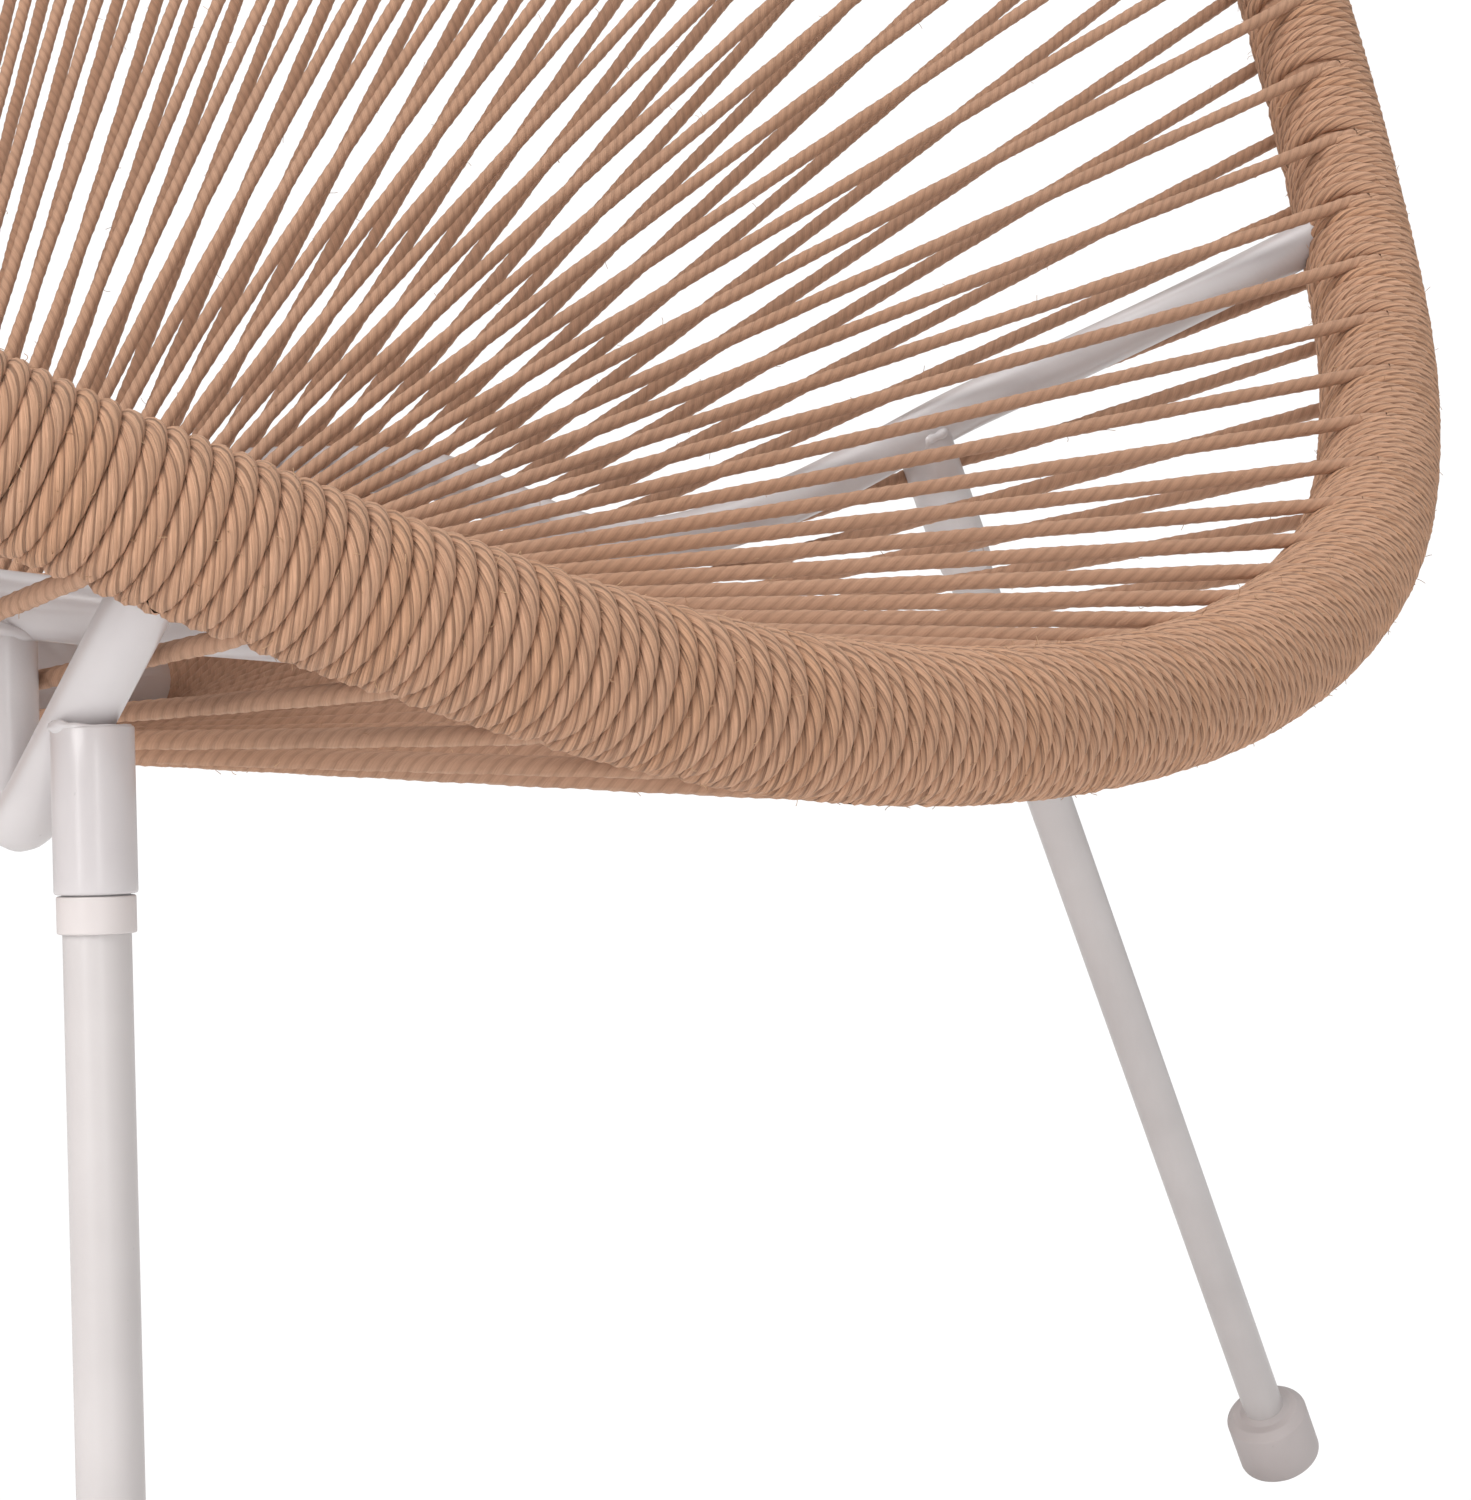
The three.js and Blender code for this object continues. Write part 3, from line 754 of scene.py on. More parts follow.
def mesh_object(name: str, points, faces, material: bpy.types.Material) -> bpy.types.Object:
    """Makes a smooth-shaded object from points in millimetres.

    Args:
        name: The object's name.
        points: Its corners.
        faces: Its faces, as rows of corner numbers.
        material: Its material.

    Returns:
        The object, linked to the scene.
    """
    mesh = bpy.data.meshes.new(name)
    mesh.from_pydata((np.asarray(points, float) * MM).tolist(), [], [list(f) for f in faces])
    mesh.validate()
    obj = bpy.data.objects.new(name, mesh)
    bpy.context.scene.collection.objects.link(obj)
    mesh.materials.append(material)
    turned = bmesh.new()
    turned.from_mesh(mesh)
    bmesh.ops.recalc_face_normals(turned, faces=turned.faces)
    turned.to_mesh(mesh)
    turned.free()
    mesh.shade_smooth()
    return obj


def grid_faces(rows: int, columns: int) -> list[tuple[int, ...]]:
    """Gives the faces between rows of points that each close on themselves."""
    return [
        (i * columns + j, i * columns + k, (i + 1) * columns + k, (i + 1) * columns + j)
        for i in range(rows - 1)
        for j, k in zip(range(columns), [*range(1, columns), 0])
    ]


def ride(obj: bpy.types.Object, finish: Finish, *nodes: str) -> None:
    """Puts a finished piece on the chair's body.

    Args:
        obj: The piece.
        finish: A material slot; not used.
        *nodes: CAD nodes that it stands for.
    """
    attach(obj, BODY)
    if nodes:
        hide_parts(*nodes)
    LOG.info("%s: %d faces", obj.name, len(obj.data.polygons))


@dataclass(frozen=True)
class Lay:
    """How a tube or a stretch of cord is swept. Without lobes and hand it is plain and round."""

    radius: float
    step: float
    section_points: int
    lobes: float = 3.0
    lobe_depth: float = 0.0
    pitch: float = 20.0
    hand: float = 0.0


def sweep(name: str, tree: bpy.types.NodeTree, stretches: list[np.ndarray], lay: Lay,
          material: bpy.types.Material, girths: list[np.ndarray] | None = None) -> bpy.types.Object:
    """Sweeps a section along lines.

    Args:
        name: The object's name.
        tree: The sweep node group.
        stretches: Points of each unbroken line.
        lay: The section and its twist.
        material: The material.
        girths: Share of the full radius at each point, 1 throughout if left out.

    Returns:
        The object, linked to the scene.
    """
    mesh = bpy.data.meshes.new(name)
    edges, start = [], 0
    for stretch in stretches:
        edges += [(start + i, start + i + 1) for i in range(len(stretch) - 1)]
        start += len(stretch)
    mesh.from_pydata((np.concatenate(stretches) * MM).tolist(), edges, [])
    shares = np.ones(start) if girths is None else np.concatenate(girths)
    mesh.attributes.new(GIRTH, "FLOAT", "POINT").data.foreach_set("value", shares)
    obj = bpy.data.objects.new(name, mesh)
    bpy.context.scene.collection.objects.link(obj)
    apply_nodes(obj, tree, {
        "Step": lay.step * MM, "Radius": lay.radius * MM, "Lobe depth": lay.lobe_depth,
        "Lobes": lay.lobes, "Twist pitch": lay.pitch * MM, "Twist": lay.hand,
        "Section points": lay.section_points, "Material": material,
    })
    return obj


class Axis:
    """A straight axis with two directions square to it."""

    def __init__(self, start: np.ndarray, end: np.ndarray) -> None:
        self.start = start
        self.length = float(np.linalg.norm(end - start))
        self.direction = unit(end - start)
        self.side = square_to(np.array([1.0, 0.0, 0.0]), self.direction)
        self.other = np.cross(self.direction, self.side)

    def at(self, distance: float) -> np.ndarray:
        """Gives the point at a distance from the start."""
        return self.start + self.direction * distance

    def around(self, angle: float) -> np.ndarray:
        """Gives the unit direction at an angle about the axis."""
        return self.side * math.cos(angle) + self.other * math.sin(angle)


def lathe(name: str, axis: Axis, profile: list[tuple[float, float]], sides: int,
          material: bpy.types.Material) -> bpy.types.Object:
    """Turns a profile about an axis.

    Args:
        name: The object's name.
        axis: The axis it turns about.
        profile: Radius and distance along the axis, in order.
        sides: Points round each circle.
        material: The material.

    Returns:
        The object.
    """
    points = [
        axis.at(along) + axis.around(TURN * j / sides) * radius
        for radius, along in profile
        for j in range(sides)
    ]
    return mesh_object(name, points, grid_faces(len(profile), sides), material)


ROUND_STEPS = 4
EDGE_PARTS = 2.05


def rounded(corners: list[tuple[float, float]], radius: float) -> list[tuple[float, float]]:
    """Rounds the inner corners of an open profile.

    Args:
        corners: The profile's corners.
        radius: The length cut from each side of a corner, as far as its edges have room.

    Returns:
        The finer profile.
    """
    shape = [corners[0]]
    for before, corner, after in zip(corners, corners[1:], corners[2:]):
        b, c, a = np.array(before), np.array(corner), np.array(after)
        reach = min(radius, np.linalg.norm(b - c) / EDGE_PARTS, np.linalg.norm(a - c) / EDGE_PARTS)
        start, end = c + unit(b - c) * reach, c + unit(a - c) * reach
        shape += [tuple(arc(start, c, end, k / ROUND_STEPS)) for k in range(ROUND_STEPS + 1)]
    return [*shape, corners[-1]]


# The steel frame


@dataclass(frozen=True)
class FrameSizes:
    """Sizes of the frame's tubes and welds, and the fineness of their meshes."""

    section_points: int = 33
    rod_step: float = 4.0
    hoop_step: float = 6.0
    bracket_step: float = 1.5
    hoop_points: int = 240
    ring_points: int = 121
    bend_points: int = 13
    joint_gap: float = 0.3
    bead: float = 0.95
    bead_lump: float = 0.95
    bead_sides: int = 10
    bead_waves: float = 4.5
    wave_phase: float = 3.0
    wave_share: float = 0.7
    puddle_share: float = 0.6
    least_puddle: float = 0.5
    weld_points: int = 40
    weld_rise: float = 1.6


class SteelFrame:
    """The hoop, the ring, the cross rods and the brackets."""

    def __init__(self, field: Field, palette: Palette, tree: bpy.types.NodeTree) -> None:
        self.field = field
        self.sizes = FrameSizes()
        self.coat = palette.of(Finish.COAT)
        self.tree = tree
        self.front_bow = bow_line(field, FRONT_BOW_SHARES, 0.0, FRONT_BOW_SINK)
        self.rear_bow = bow_line(field, REAR_BOW_SHARES, 0.5)
        self.bracket_top = field.point(BRACKET_ROUND_SHARE, 1)
        self.bracket_seat = field.point(BRACKET_ROUND_SHARE, BRACKET_INWARD_SHARE) - UP * FRONT_BOW_SINK
        self.bracket_knee = self.bracket_seat - UP * BRACKET_DROP

    def tube(self, name: str, line: np.ndarray, diameter: float, step: float, node: str) -> None:
        """Sweeps a round tube along a line.

        Args:
            name: The piece's name.
            line: Its centre line.
            diameter: Its outer diameter.
            step: Length of its spans.
            node: The CAD node that it stands for.
        """
        lay = Lay(diameter / 2, step, self.sizes.section_points)
        ride(sweep(name, self.tree, [line], lay, self.coat), Finish.COAT, node)

    def bracket_line(self) -> np.ndarray:
        """Gives the right bracket's centre line, from the hoop round its knee to the cross rod.

        Returns:
            Points along it.
        """
        down = unit(self.bracket_top - self.bracket_knee)
        start = self.bracket_knee + down * BRACKET_BEND
        end = self.bracket_knee + UP * BRACKET_BEND
        bend = [arc(start, self.bracket_knee, end, t) for t in np.linspace(0, 1, self.sizes.bend_points)]
        return np.array([self.bracket_top, *bend, self.bracket_seat])

    def bead(self, name: str, loop: np.ndarray, seed: int, fades: np.ndarray | float = 1.0) -> None:
        """Lays a lumpy weld bead along a closed loop.

        Args:
            name: The piece's name.
            loop: The loop's points.
            seed: Seed of its lumps.
            fades: Share of the bead's size, throughout or at each point.
        """
        s = self.sizes
        chance = np.random.default_rng(seed)
        count, sides = len(loop), s.bead_sides
        centre = loop.mean(axis=0)
        puddles = chance.uniform(s.least_puddle, 1.0, count)
        along = np.linspace(0, TURN * s.bead_waves, count, endpoint=False)
        waves = np.abs(np.sin(along + chance.uniform(0, s.wave_phase)))
        lumps = s.wave_share * waves + s.puddle_share * puddles - s.puddle_share
        radii = s.bead + s.bead_lump * lumps
        radii = (radii + np.roll(radii, 1) + np.roll(radii, -1)) / 3 * fades
        points = []
        for k in range(count):
            tangent = unit(loop[(k + 1) % count] - loop[k - 1])
            outward = square_to(loop[k] - centre, tangent)
            lift = np.cross(tangent, outward)
            for j in range(sides):
                angle = TURN * j / sides
                points.append(loop[k] + (outward * math.cos(angle) + lift * math.sin(angle)) * radii[k])
        faces = grid_faces(count, sides)
        last = (count - 1) * sides
        faces += [(last + j, last + (j + 1) % sides, (j + 1) % sides, j) for j in range(sides)]
        ride(mesh_object(name, points, faces, self.coat), Finish.COAT)

    def build(self) -> None:
        """Makes the frame's pieces."""
        s = self.sizes
        gap = s.joint_gap / self.field.hoop.length / 2
        for side, start in (("right", 0.0), ("left", 0.5)):
            line, _ = self.field.hoop.line(start + gap, start + 0.5 - gap, s.hoop_points)
            self.tube(f"hoop_{side}", line, HOOP_TUBE, s.hoop_step, f"hoop_tube_{side}")
        ring = np.array([self.field.ring_point(share) for share in np.linspace(0, 1, s.ring_points)])
        self.tube("ring", ring, HOOP_TUBE, s.hoop_step, "centre_ring")
        self.tube("front_rod", self.front_bow, ROD_DIAMETER, s.rod_step, "front_cross_rod")
        self.tube("rear_rod", self.rear_bow, ROD_DIAMETER, s.rod_step, "rear_cross_rod")
        rod = ROD_DIAMETER / 2
        angles = np.linspace(0, TURN, s.weld_points, endpoint=False)
        for side, sign in SIDES:
            line = self.bracket_line() * flipped(sign)
            self.tube(f"bracket_{side}", line, ROD_DIAMETER, s.bracket_step, f"front_bracket_{side}")
            seat = self.bracket_seat * flipped(sign) - UP * rod
            loop = np.array([
                seat + rod * np.array([math.cos(a), math.sin(a), 0]) + UP * (s.weld_rise * math.sin(a) ** 2)
                for a in angles
            ])
            self.bead(f"bracket_{side}_weld", loop, seed=11 if sign > 0 else 12)


# Legs


@dataclass(frozen=True)
class LegSizes:
    """Sizes of one leg set."""

    leg: float = 12.7
    leg_wall: float = 1.5
    leg_rings: int = 24
    clearance: float = 0.3
    sleeve_wall: float = 1.1
    sleeve_length: float = 30.0
    sleeve_lip: float = 0.5
    sleeve_land: float = 0.9
    sleeve_edge: float = 0.25
    edge_drop: float = 0.35
    cover_bore: float = 1.0
    saddle_bite: float = 0.4
    weld_inset: float = 0.8
    weld_drop: float = 0.2
    bush_play: float = 0.05
    cap_grip: float = 0.1
    bush_wall: float = 0.7
    bush_height: float = 7.0
    bush_rounding: float = 0.45
    plug: float = 20.0
    cap_diameter: float = 26.0
    cap_height: float = 22.2
    cap_floor: float = 8.0
    cap_sink: float = 0.5
    cap_bevel: float = 2.4
    cap_lip: float = 1.6
    cap_rounding: float = 0.4
    sides: int = 64

    @property
    def sleeve(self) -> float:
        """Outer radius of the sleeve."""
        return self.leg / 2 + self.clearance + self.sleeve_wall


# Rings of a sleeve's wall between its ends, as shares of its length, and of its lower lip, as shares
# of the lip inwards and upwards
WALL_SHARES = (0.45, 0.9)
LIP_SHARES = ((0, 1.2), (0.15, 0.45), (0.5, 0.12), (1, 0))

# The front beads are fullest towards the chair's middle and front, the rear ones beside the rod
BEAD_FACING = (0.6, 0.8)
LEVEL_BEAD_SHARES = (0.25, 0.85)
SADDLE_BEAD_SHARES = (1, -0.75)
FADE_POWER = 3


class LegSet:
    """A sleeve welded under a rod, a bush, the leg and its foot cap."""

    def __init__(self, name: str, top: np.ndarray, foot: np.ndarray, rod: np.ndarray, steel: SteelFrame,
                 palette: Palette, seed: int, level: float = 0.0) -> None:
        self.name = name
        self.level = level
        self.sizes = LegSizes()
        self.axis = Axis(top, foot)
        self.rod = unit(rod)
        self.steel = steel
        self.palette = palette
        self.seed = seed

    def saddle(self, angle: float, rod_radius: float) -> float:
        """Works out how far down the axis the sleeve's wall meets the rod's underside.

        Args:
            angle: Angle about the leg's axis.
            rod_radius: The rod's radius.

        Returns:
            Distance along the axis.
        """
        radius = self.sizes.sleeve
        slant = float(self.axis.direction @ self.rod)
        reach = float(self.axis.around(angle) @ self.rod) * radius
        square = 1 - slant**2
        inside = (slant * reach) ** 2 - square * (radius**2 - reach**2 - rod_radius**2)
        return (slant * reach + math.sqrt(max(inside, 0.0))) / square

    def turn(self, name: str, profile: list[tuple[float, float]], material: bpy.types.Material,
             finish: Finish, node: str) -> None:
        """Turns a piece of the set about its axis.

        Args:
            name: End of the piece's name.
            profile: Radius and distance along the axis, in order.
            material: The material.
            finish: Its material slot.
            node: End of the name of the CAD node that it stands for.
        """
        piece = lathe(f"{self.name}_{name}", self.axis, profile, self.sizes.sides, material)
        ride(piece, finish, f"{self.name}_{node}")

    def make_sleeve(self, end: float) -> None:
        """Makes the sleeve, and the weld bead round its top.

        Args:
            end: Distance along the axis of its lower end.
        """
        s = self.sizes
        rod, outer, bore, lip = ROD_DIAMETER / 2, s.sleeve, s.leg / 2 + s.clearance, s.sleeve_lip
        angles = [TURN * j / s.sides for j in range(s.sides)]
        # Radius and place: at the top, a share of the way down, or a distance past the lower end
        land = outer - s.sleeve_land
        rings = [
            *((radius, None) for radius in (s.cover_bore if self.level else land, land)),
            *((radius, None) for radius in (outer - s.sleeve_edge, outer)),
            *((outer, share) for share in WALL_SHARES),
            *((outer - inward * lip, -upward * lip) for inward, upward in LIP_SHARES),
            (bore, 0.0), (bore, -s.plug),
        ]
        points = []
        for radius, place in rings:
            for angle in angles:
                top = self.level or self.saddle(angle, rod - s.saddle_bite)
                if place is None:
                    along = top + (s.edge_drop if radius == outer else 0.0)
                elif place > 0:
                    along = top + (end - top) * place
                else:
                    along = end + place
                points.append(self.axis.at(along) + self.axis.around(angle) * radius)
        sleeve = mesh_object(f"{self.name}_sleeve_tube", points, grid_faces(len(rings), s.sides),
                             self.palette.of(Finish.COAT))
        ride(sleeve, Finish.COAT, f"{self.name}_sleeve")

        loop = np.array([
            self.axis.at(self.level or self.saddle(a, rod) + s.weld_drop)
            + self.axis.around(a) * (outer - s.weld_inset)
            for a in angles
        ])
        if self.level:
            across, ahead = BEAD_FACING
            facing = unit(np.array([-across * math.copysign(1.0, self.axis.start[0]), -ahead, 0.0]))
            turned = [max(0.0, float(self.axis.around(a) @ facing)) for a in angles]
            least, more = LEVEL_BEAD_SHARES
        else:
            facing = square_to(self.rod, self.axis.direction)
            turned = [abs(float(self.axis.around(a) @ facing)) for a in angles]
            least, more = SADDLE_BEAD_SHARES
        fades = np.array([least + more * share**FADE_POWER for share in turned])
        self.steel.bead(f"{self.name}_weld", loop, self.seed, fades)

    def build(self) -> None:
        """Makes the set's pieces."""
        s = self.sizes
        leg, cap = s.leg / 2, s.cap_diameter / 2
        end = s.sleeve_length + ROD_DIAMETER / 2
        self.make_sleeve(end)

        start = end + s.clearance
        bore, bush, bush_end = leg + s.bush_play, leg + s.clearance + s.bush_wall, start + s.bush_height
        profile = [(bore, start), (bush, start), (bush, bush_end), (bore, bush_end)]
        profile = rounded(profile, s.bush_rounding)
        self.turn("collar", profile, self.palette.of(Finish.BUSH), Finish.BUSH, "bush")

        slope = -self.axis.direction
        lift = (cap - s.cap_bevel) * math.hypot(slope[0], slope[1]) - s.cap_sink
        cap_end = self.axis.length - lift / slope[2]
        floor = cap_end - s.cap_floor
        spans = np.linspace(start - s.plug, floor - s.clearance, s.leg_rings)
        inner = leg - s.leg_wall
        tube = [(inner, spans[0]), *((leg, along) for along in spans), (inner, spans[-1])]
        # The leg tube takes the darker coat, which is painted shade
        self.turn("tube", tube, self.palette.leg, Finish.COAT, "leg")

        top = cap_end - s.cap_height
        grip = leg - s.cap_grip
        corners = [(grip, floor), (grip, top - s.cap_lip), (leg + s.cap_lip, top),
                   (cap - s.cap_bevel, top), (cap, top + s.cap_bevel), (cap, cap_end - s.cap_bevel),
                   (cap - s.cap_bevel, cap_end), (0.0, cap_end)]
        foot = lathe(f"{self.name}_foot", self.axis, rounded(corners, s.cap_rounding), s.sides,
                     self.palette.of(Finish.FOOT))
        for vertex in foot.data.vertices:
            vertex.co.z = max(vertex.co.z, 0.0)
        ride(foot, Finish.FOOT, f"{self.name}_cap")


def make_legs(steel: SteelFrame, palette: Palette) -> list[LegSet]:
    """Works out the four leg sets.

    Args:
        steel: The frame that carries them.
        palette: The materials.

    Returns:
        The leg sets, not yet built.
    """
    sets = []
    arm = steel.bracket_knee - steel.bracket_top
    front = steel.bracket_top + arm * FRONT_LEG_ARM_SHARE
    place = REAR_LEG_BOW_SHARE * (len(steel.rear_bow) - 1)
    index = int(place)
    rod = steel.rear_bow[index + 1] - steel.rear_bow[index]
    rear = steel.rear_bow[index] + rod * (place - index)
    front_foot = np.array([front[0], front[1], 0.0])
    rear_foot = np.array([rear[0] + REAR_SPLAY, rear[1] + REAR_LEAN, 0.0])
    for side, sign in SIDES:
        for end, seed, level, lines in (
            ("front", 21, FRONT_SLEEVE_LEVEL, (front, front_foot, arm)),
            ("rear", 31, 0.0, (rear, rear_foot, rod)),
        ):
            top, foot, held = (line * flipped(sign) for line in lines)
            sets.append(LegSet(f"{end}_{side}", top, foot, held, steel, palette, seed + sign, level))
    return sets


# The cord

WOUND = Lay(radius=2.3, lobes=6.0, lobe_depth=0.05, pitch=26.0, step=1.9, section_points=13, hand=-1.0)
STRUNG = Lay(radius=1.98, lobes=3.0, lobe_depth=0.055, pitch=12.0, step=1.6, section_points=9, hand=-1.0)
UNDER = Lay(radius=13.5, step=1.4, section_points=13)
UNDER_DIP_SHARE = 0.07
UNDER_POINT_STEP = 0.8


@dataclass(frozen=True)
class CordSizes:
    """Sizes of the cord's run; girths are shares of the strung radius."""

    wraps_per_pair: float = 6.5
    split_turns: float = 3.0
    arc_points: int = 26
    strand_step: float = 9.0
    near_step: float = 2.5
    landing_share: float = 0.5
    clearance: float = 0.1
    bite: float = 0.1
    jitter: float = 0.14
    ring_jitter: float = 0.45
    slow_drift: float = 2.1
    fast_drift: float = 3.7
    sag: float = 0.9
    sag_shares: tuple[float, float] = (0.4, 1.0)
    upper_girth: float = 0.96
    lower_girth: float = 1.03
    end_girth: float = 1.12
    push_rounds: int = 3
    ease_rounds: int = 6
    seed: int = 41


@dataclass(frozen=True)
class FuzzSizes:
    """Loose hairs on the cord: sizes in metres, density per square metre."""

    density: float = 10000.0
    strung_share: float = 0.2
    length: float = 0.0021
    thickness: float = 0.00008
    curl: float = 0.005
    seed: int = 19


@dataclass(frozen=True)
class Obstacle:
    """A straight stretch of rod or sleeve that strands pass beside."""

    start: np.ndarray
    end: np.ndarray
    radius: float

    def push(self, point: np.ndarray, room: float) -> np.ndarray:
        """Moves a point out until it clears the stretch.

        Args:
            point: The point.
            room: The cord's radius and its clearance.

        Returns:
            The point, moved if it was too near.
        """
        span = self.end - self.start
        share = float(np.clip((point - self.start) @ span / (span @ span), 0.0, 1.0))
        away = point - (self.start + span * share)
        distance = float(np.linalg.norm(away))
        if distance >= self.radius + room or distance == 0:
            return point
        return point + away / distance * (self.radius + room - distance)


def leg_obstacles(steel: SteelFrame, legs: list[LegSet]) -> list[Obstacle]:
    """Gives the rods and sleeves that the strands go round.

    Args:
        steel: The frame.
        legs: The leg sets.

    Returns:
        The obstacles.
    """
    found = []
    rod = ROD_DIAMETER / 2
    for _, sign in SIDES:
        line = steel.bracket_line() * flipped(sign)
        found += [Obstacle(a, b, rod) for a, b in zip(line[::3], line[3::3])]
        found += [Obstacle(line[-2], line[-1], rod), Obstacle(line[0], line[1], rod)]
    for leg in legs:
        reach = leg.axis.at(leg.sizes.sleeve_length + ROD_DIAMETER)
        found.append(Obstacle(leg.axis.at(0), reach, leg.sizes.sleeve))
    for bow in (steel.front_bow, steel.rear_bow):
        found += [Obstacle(a, b, rod) for a, b in zip(bow[:-5:5], bow[5::5])]
    return found


class CordWinding:
    """The cord: wound on the hoop and strung to the ring and back, one continuous line a sector."""

    def __init__(self, field: Field, obstacles: list[Obstacle]) -> None:
        self.field = field
        self.obstacles = obstacles
        self.sizes = s = CordSizes()
        self.reach = HOOP_TUBE / 2 + WOUND.radius - s.bite
        self.pair_share = 1 / PAIRS
        self.landing = s.landing_share * self.pair_share / (s.wraps_per_pair + s.landing_share)
        chance = np.random.default_rng(s.seed)
        self.drifts = chance.normal(0, s.jitter, (PAIRS, 2))
        self.shifts = chance.normal(0, s.ring_jitter / (TURN * RING_RADIUS), PAIRS)
        self.sags = chance.uniform(0, s.sag, (PAIRS, 2)) * s.sag_shares

    def wraps(self, pair: int, first: float, last: float) -> list[np.ndarray]:
        """Gives the helix from a pair's landing strand towards the next pair's leaving strand.

        Args:
            pair: The pair whose lower strand has landed.
            first: Turns already made where the stretch starts.
            last: Turns made where it ends.

        Returns:
            Points of the helix.
        """
        s = self.sizes
        start = (pair + 0.5) * self.pair_share + self.landing
        room = self.pair_share - self.landing
        points = []
        count = int(round((last - first) * s.arc_points))
        drift = self.drifts[pair % PAIRS]
        for k in range(count + 1):
            turn = first + (last - first) * k / count
            share = start + room * turn / s.wraps_per_pair
            inward, upward = self.field.hoop_axes(share)
            angle = 0.75 * TURN - turn * TURN
            fade = math.sin(math.pi * turn / s.wraps_per_pair)
            waves = math.sin(turn * s.slow_drift), math.sin(turn * s.fast_drift + 1)
            wander = fade * (drift[0] * waves[0] + drift[1] * waves[1])
            centre = self.field.hoop.point(share) + self.field.hoop.tangent(share) * wander
            points.append(centre + (inward * math.cos(angle) + upward * math.sin(angle)) * self.reach)
        return points

    def strand(self, start: np.ndarray, end: np.ndarray, sag: float) -> list[np.ndarray]:
        """Gives a strand between two places, eased round what it passes.

        Args:
            start: Where it leaves.
            end: Where it lands.
            sag: How far its middle hangs under the straight line.

        Returns:
            Points between the two, without them.
        """
        s = self.sizes
        length = float(np.linalg.norm(end - start))
        inner = np.arange(3 * s.near_step, length - 3 * s.near_step, s.strand_step)
        places = np.concatenate([
            np.arange(1, 3) * s.near_step, inner, length - np.arange(2, 0, -1) * s.near_step
        ])
        shares = (places / length)[:, None]
        points = start + (end - start) * shares - UP * (4 * sag) * shares * (1 - shares)
        room = STRUNG.radius + s.clearance
        for _ in range(s.push_rounds):
            for obstacle in self.obstacles:
                points = np.array([obstacle.push(point, room) for point in points])
            eased = points.copy()
            eased[1:-1] = points[1:-1] * 0.5 + (points[:-2] + points[2:]) * 0.25
            points = eased
        return list(points)

    def round_ring(self, pair: int) -> list[np.ndarray]:
        """Gives the half turn round the ring, from the upper layer to the lower one.

        Args:
            pair: The pair of strands that it joins.

        Returns:
            Points of the half turn.
        """
        share = (pair + 0.5) * self.pair_share + self.shifts[pair]
        outward, upward = self.field.ring_axes(share)
        centre = self.field.ring_point(share)
        steps = self.sizes.arc_points // 2
        angles = [TURN / 4 + TURN / 2 * k / steps for k in range(steps + 1)]
        return [centre + (outward * math.cos(a) + upward * math.sin(a)) * self.reach for a in angles]

    def route(self, sector: int) -> tuple[list[np.ndarray], list[np.ndarray], list[np.ndarray]]:
        """Gives a sector's whole line of cord, cut where strands leave and land.

        Args:
            sector: The sector's number, from the front round towards +X.

        Returns:
            The wound stretches, the strung ones with their turn round the ring, and the girths of these.
        """
        s = self.sizes
        first = sector * PAIRS_PER_SECTOR
        line = self.wraps(first - 1, s.split_turns, s.wraps_per_pair)
        girths = [1.0] * len(line)
        bends = []
        for pair in range(first, first + PAIRS_PER_SECTOR):
            last_pair = pair == first + PAIRS_PER_SECTOR - 1
            wraps = self.wraps(pair, 0.0, s.split_turns if last_pair else s.wraps_per_pair)
            rows = ((self.round_ring(pair), self.sags[pair, 0], s.upper_girth, s.lower_girth),
                    (wraps, self.sags[pair, 1], s.lower_girth, 1.0))
            for path, sag, strand_girth, path_girth in rows:
                strand = self.strand(line[-1], path[0], sag)
                bends += [len(line) - 1, len(line) + len(strand)]
                line += strand + path
                girths += [strand_girth] * len(strand) + [path_girth] * len(path)
        points = np.array(line)
        for _ in range(s.ease_rounds):
            for bend in bends:
                low, high = max(bend - 1, 1), min(bend + 2, len(points) - 1)
                middle = (points[low - 1 : high - 1] + points[low + 1 : high + 1]) / 2
                points[low:high] = points[low:high] * 0.5 + middle * 0.5
        cuts = [0, *(bend for k, bend in enumerate(bends) if k % 4 in (0, 3)), len(points) - 1]
        stretches = [slice(a, b + 1) for a, b in zip(cuts, cuts[1:])]
        strung_girths = [np.array(girths[stretch]) for stretch in stretches[1::2]]
        for part in strung_girths:
            part[[0, -1]] = s.end_girth
        return [points[i] for i in stretches[::2]], [points[i] for i in stretches[1::2]], strung_girths


def sector_node(sector: int) -> str:
    """Names the CAD node of a sector of cord."""
    left = sector >= SECTORS // 2
    return f"cord_left_{SECTORS - sector:02d}" if left else f"cord_right_{sector + 1:02d}"


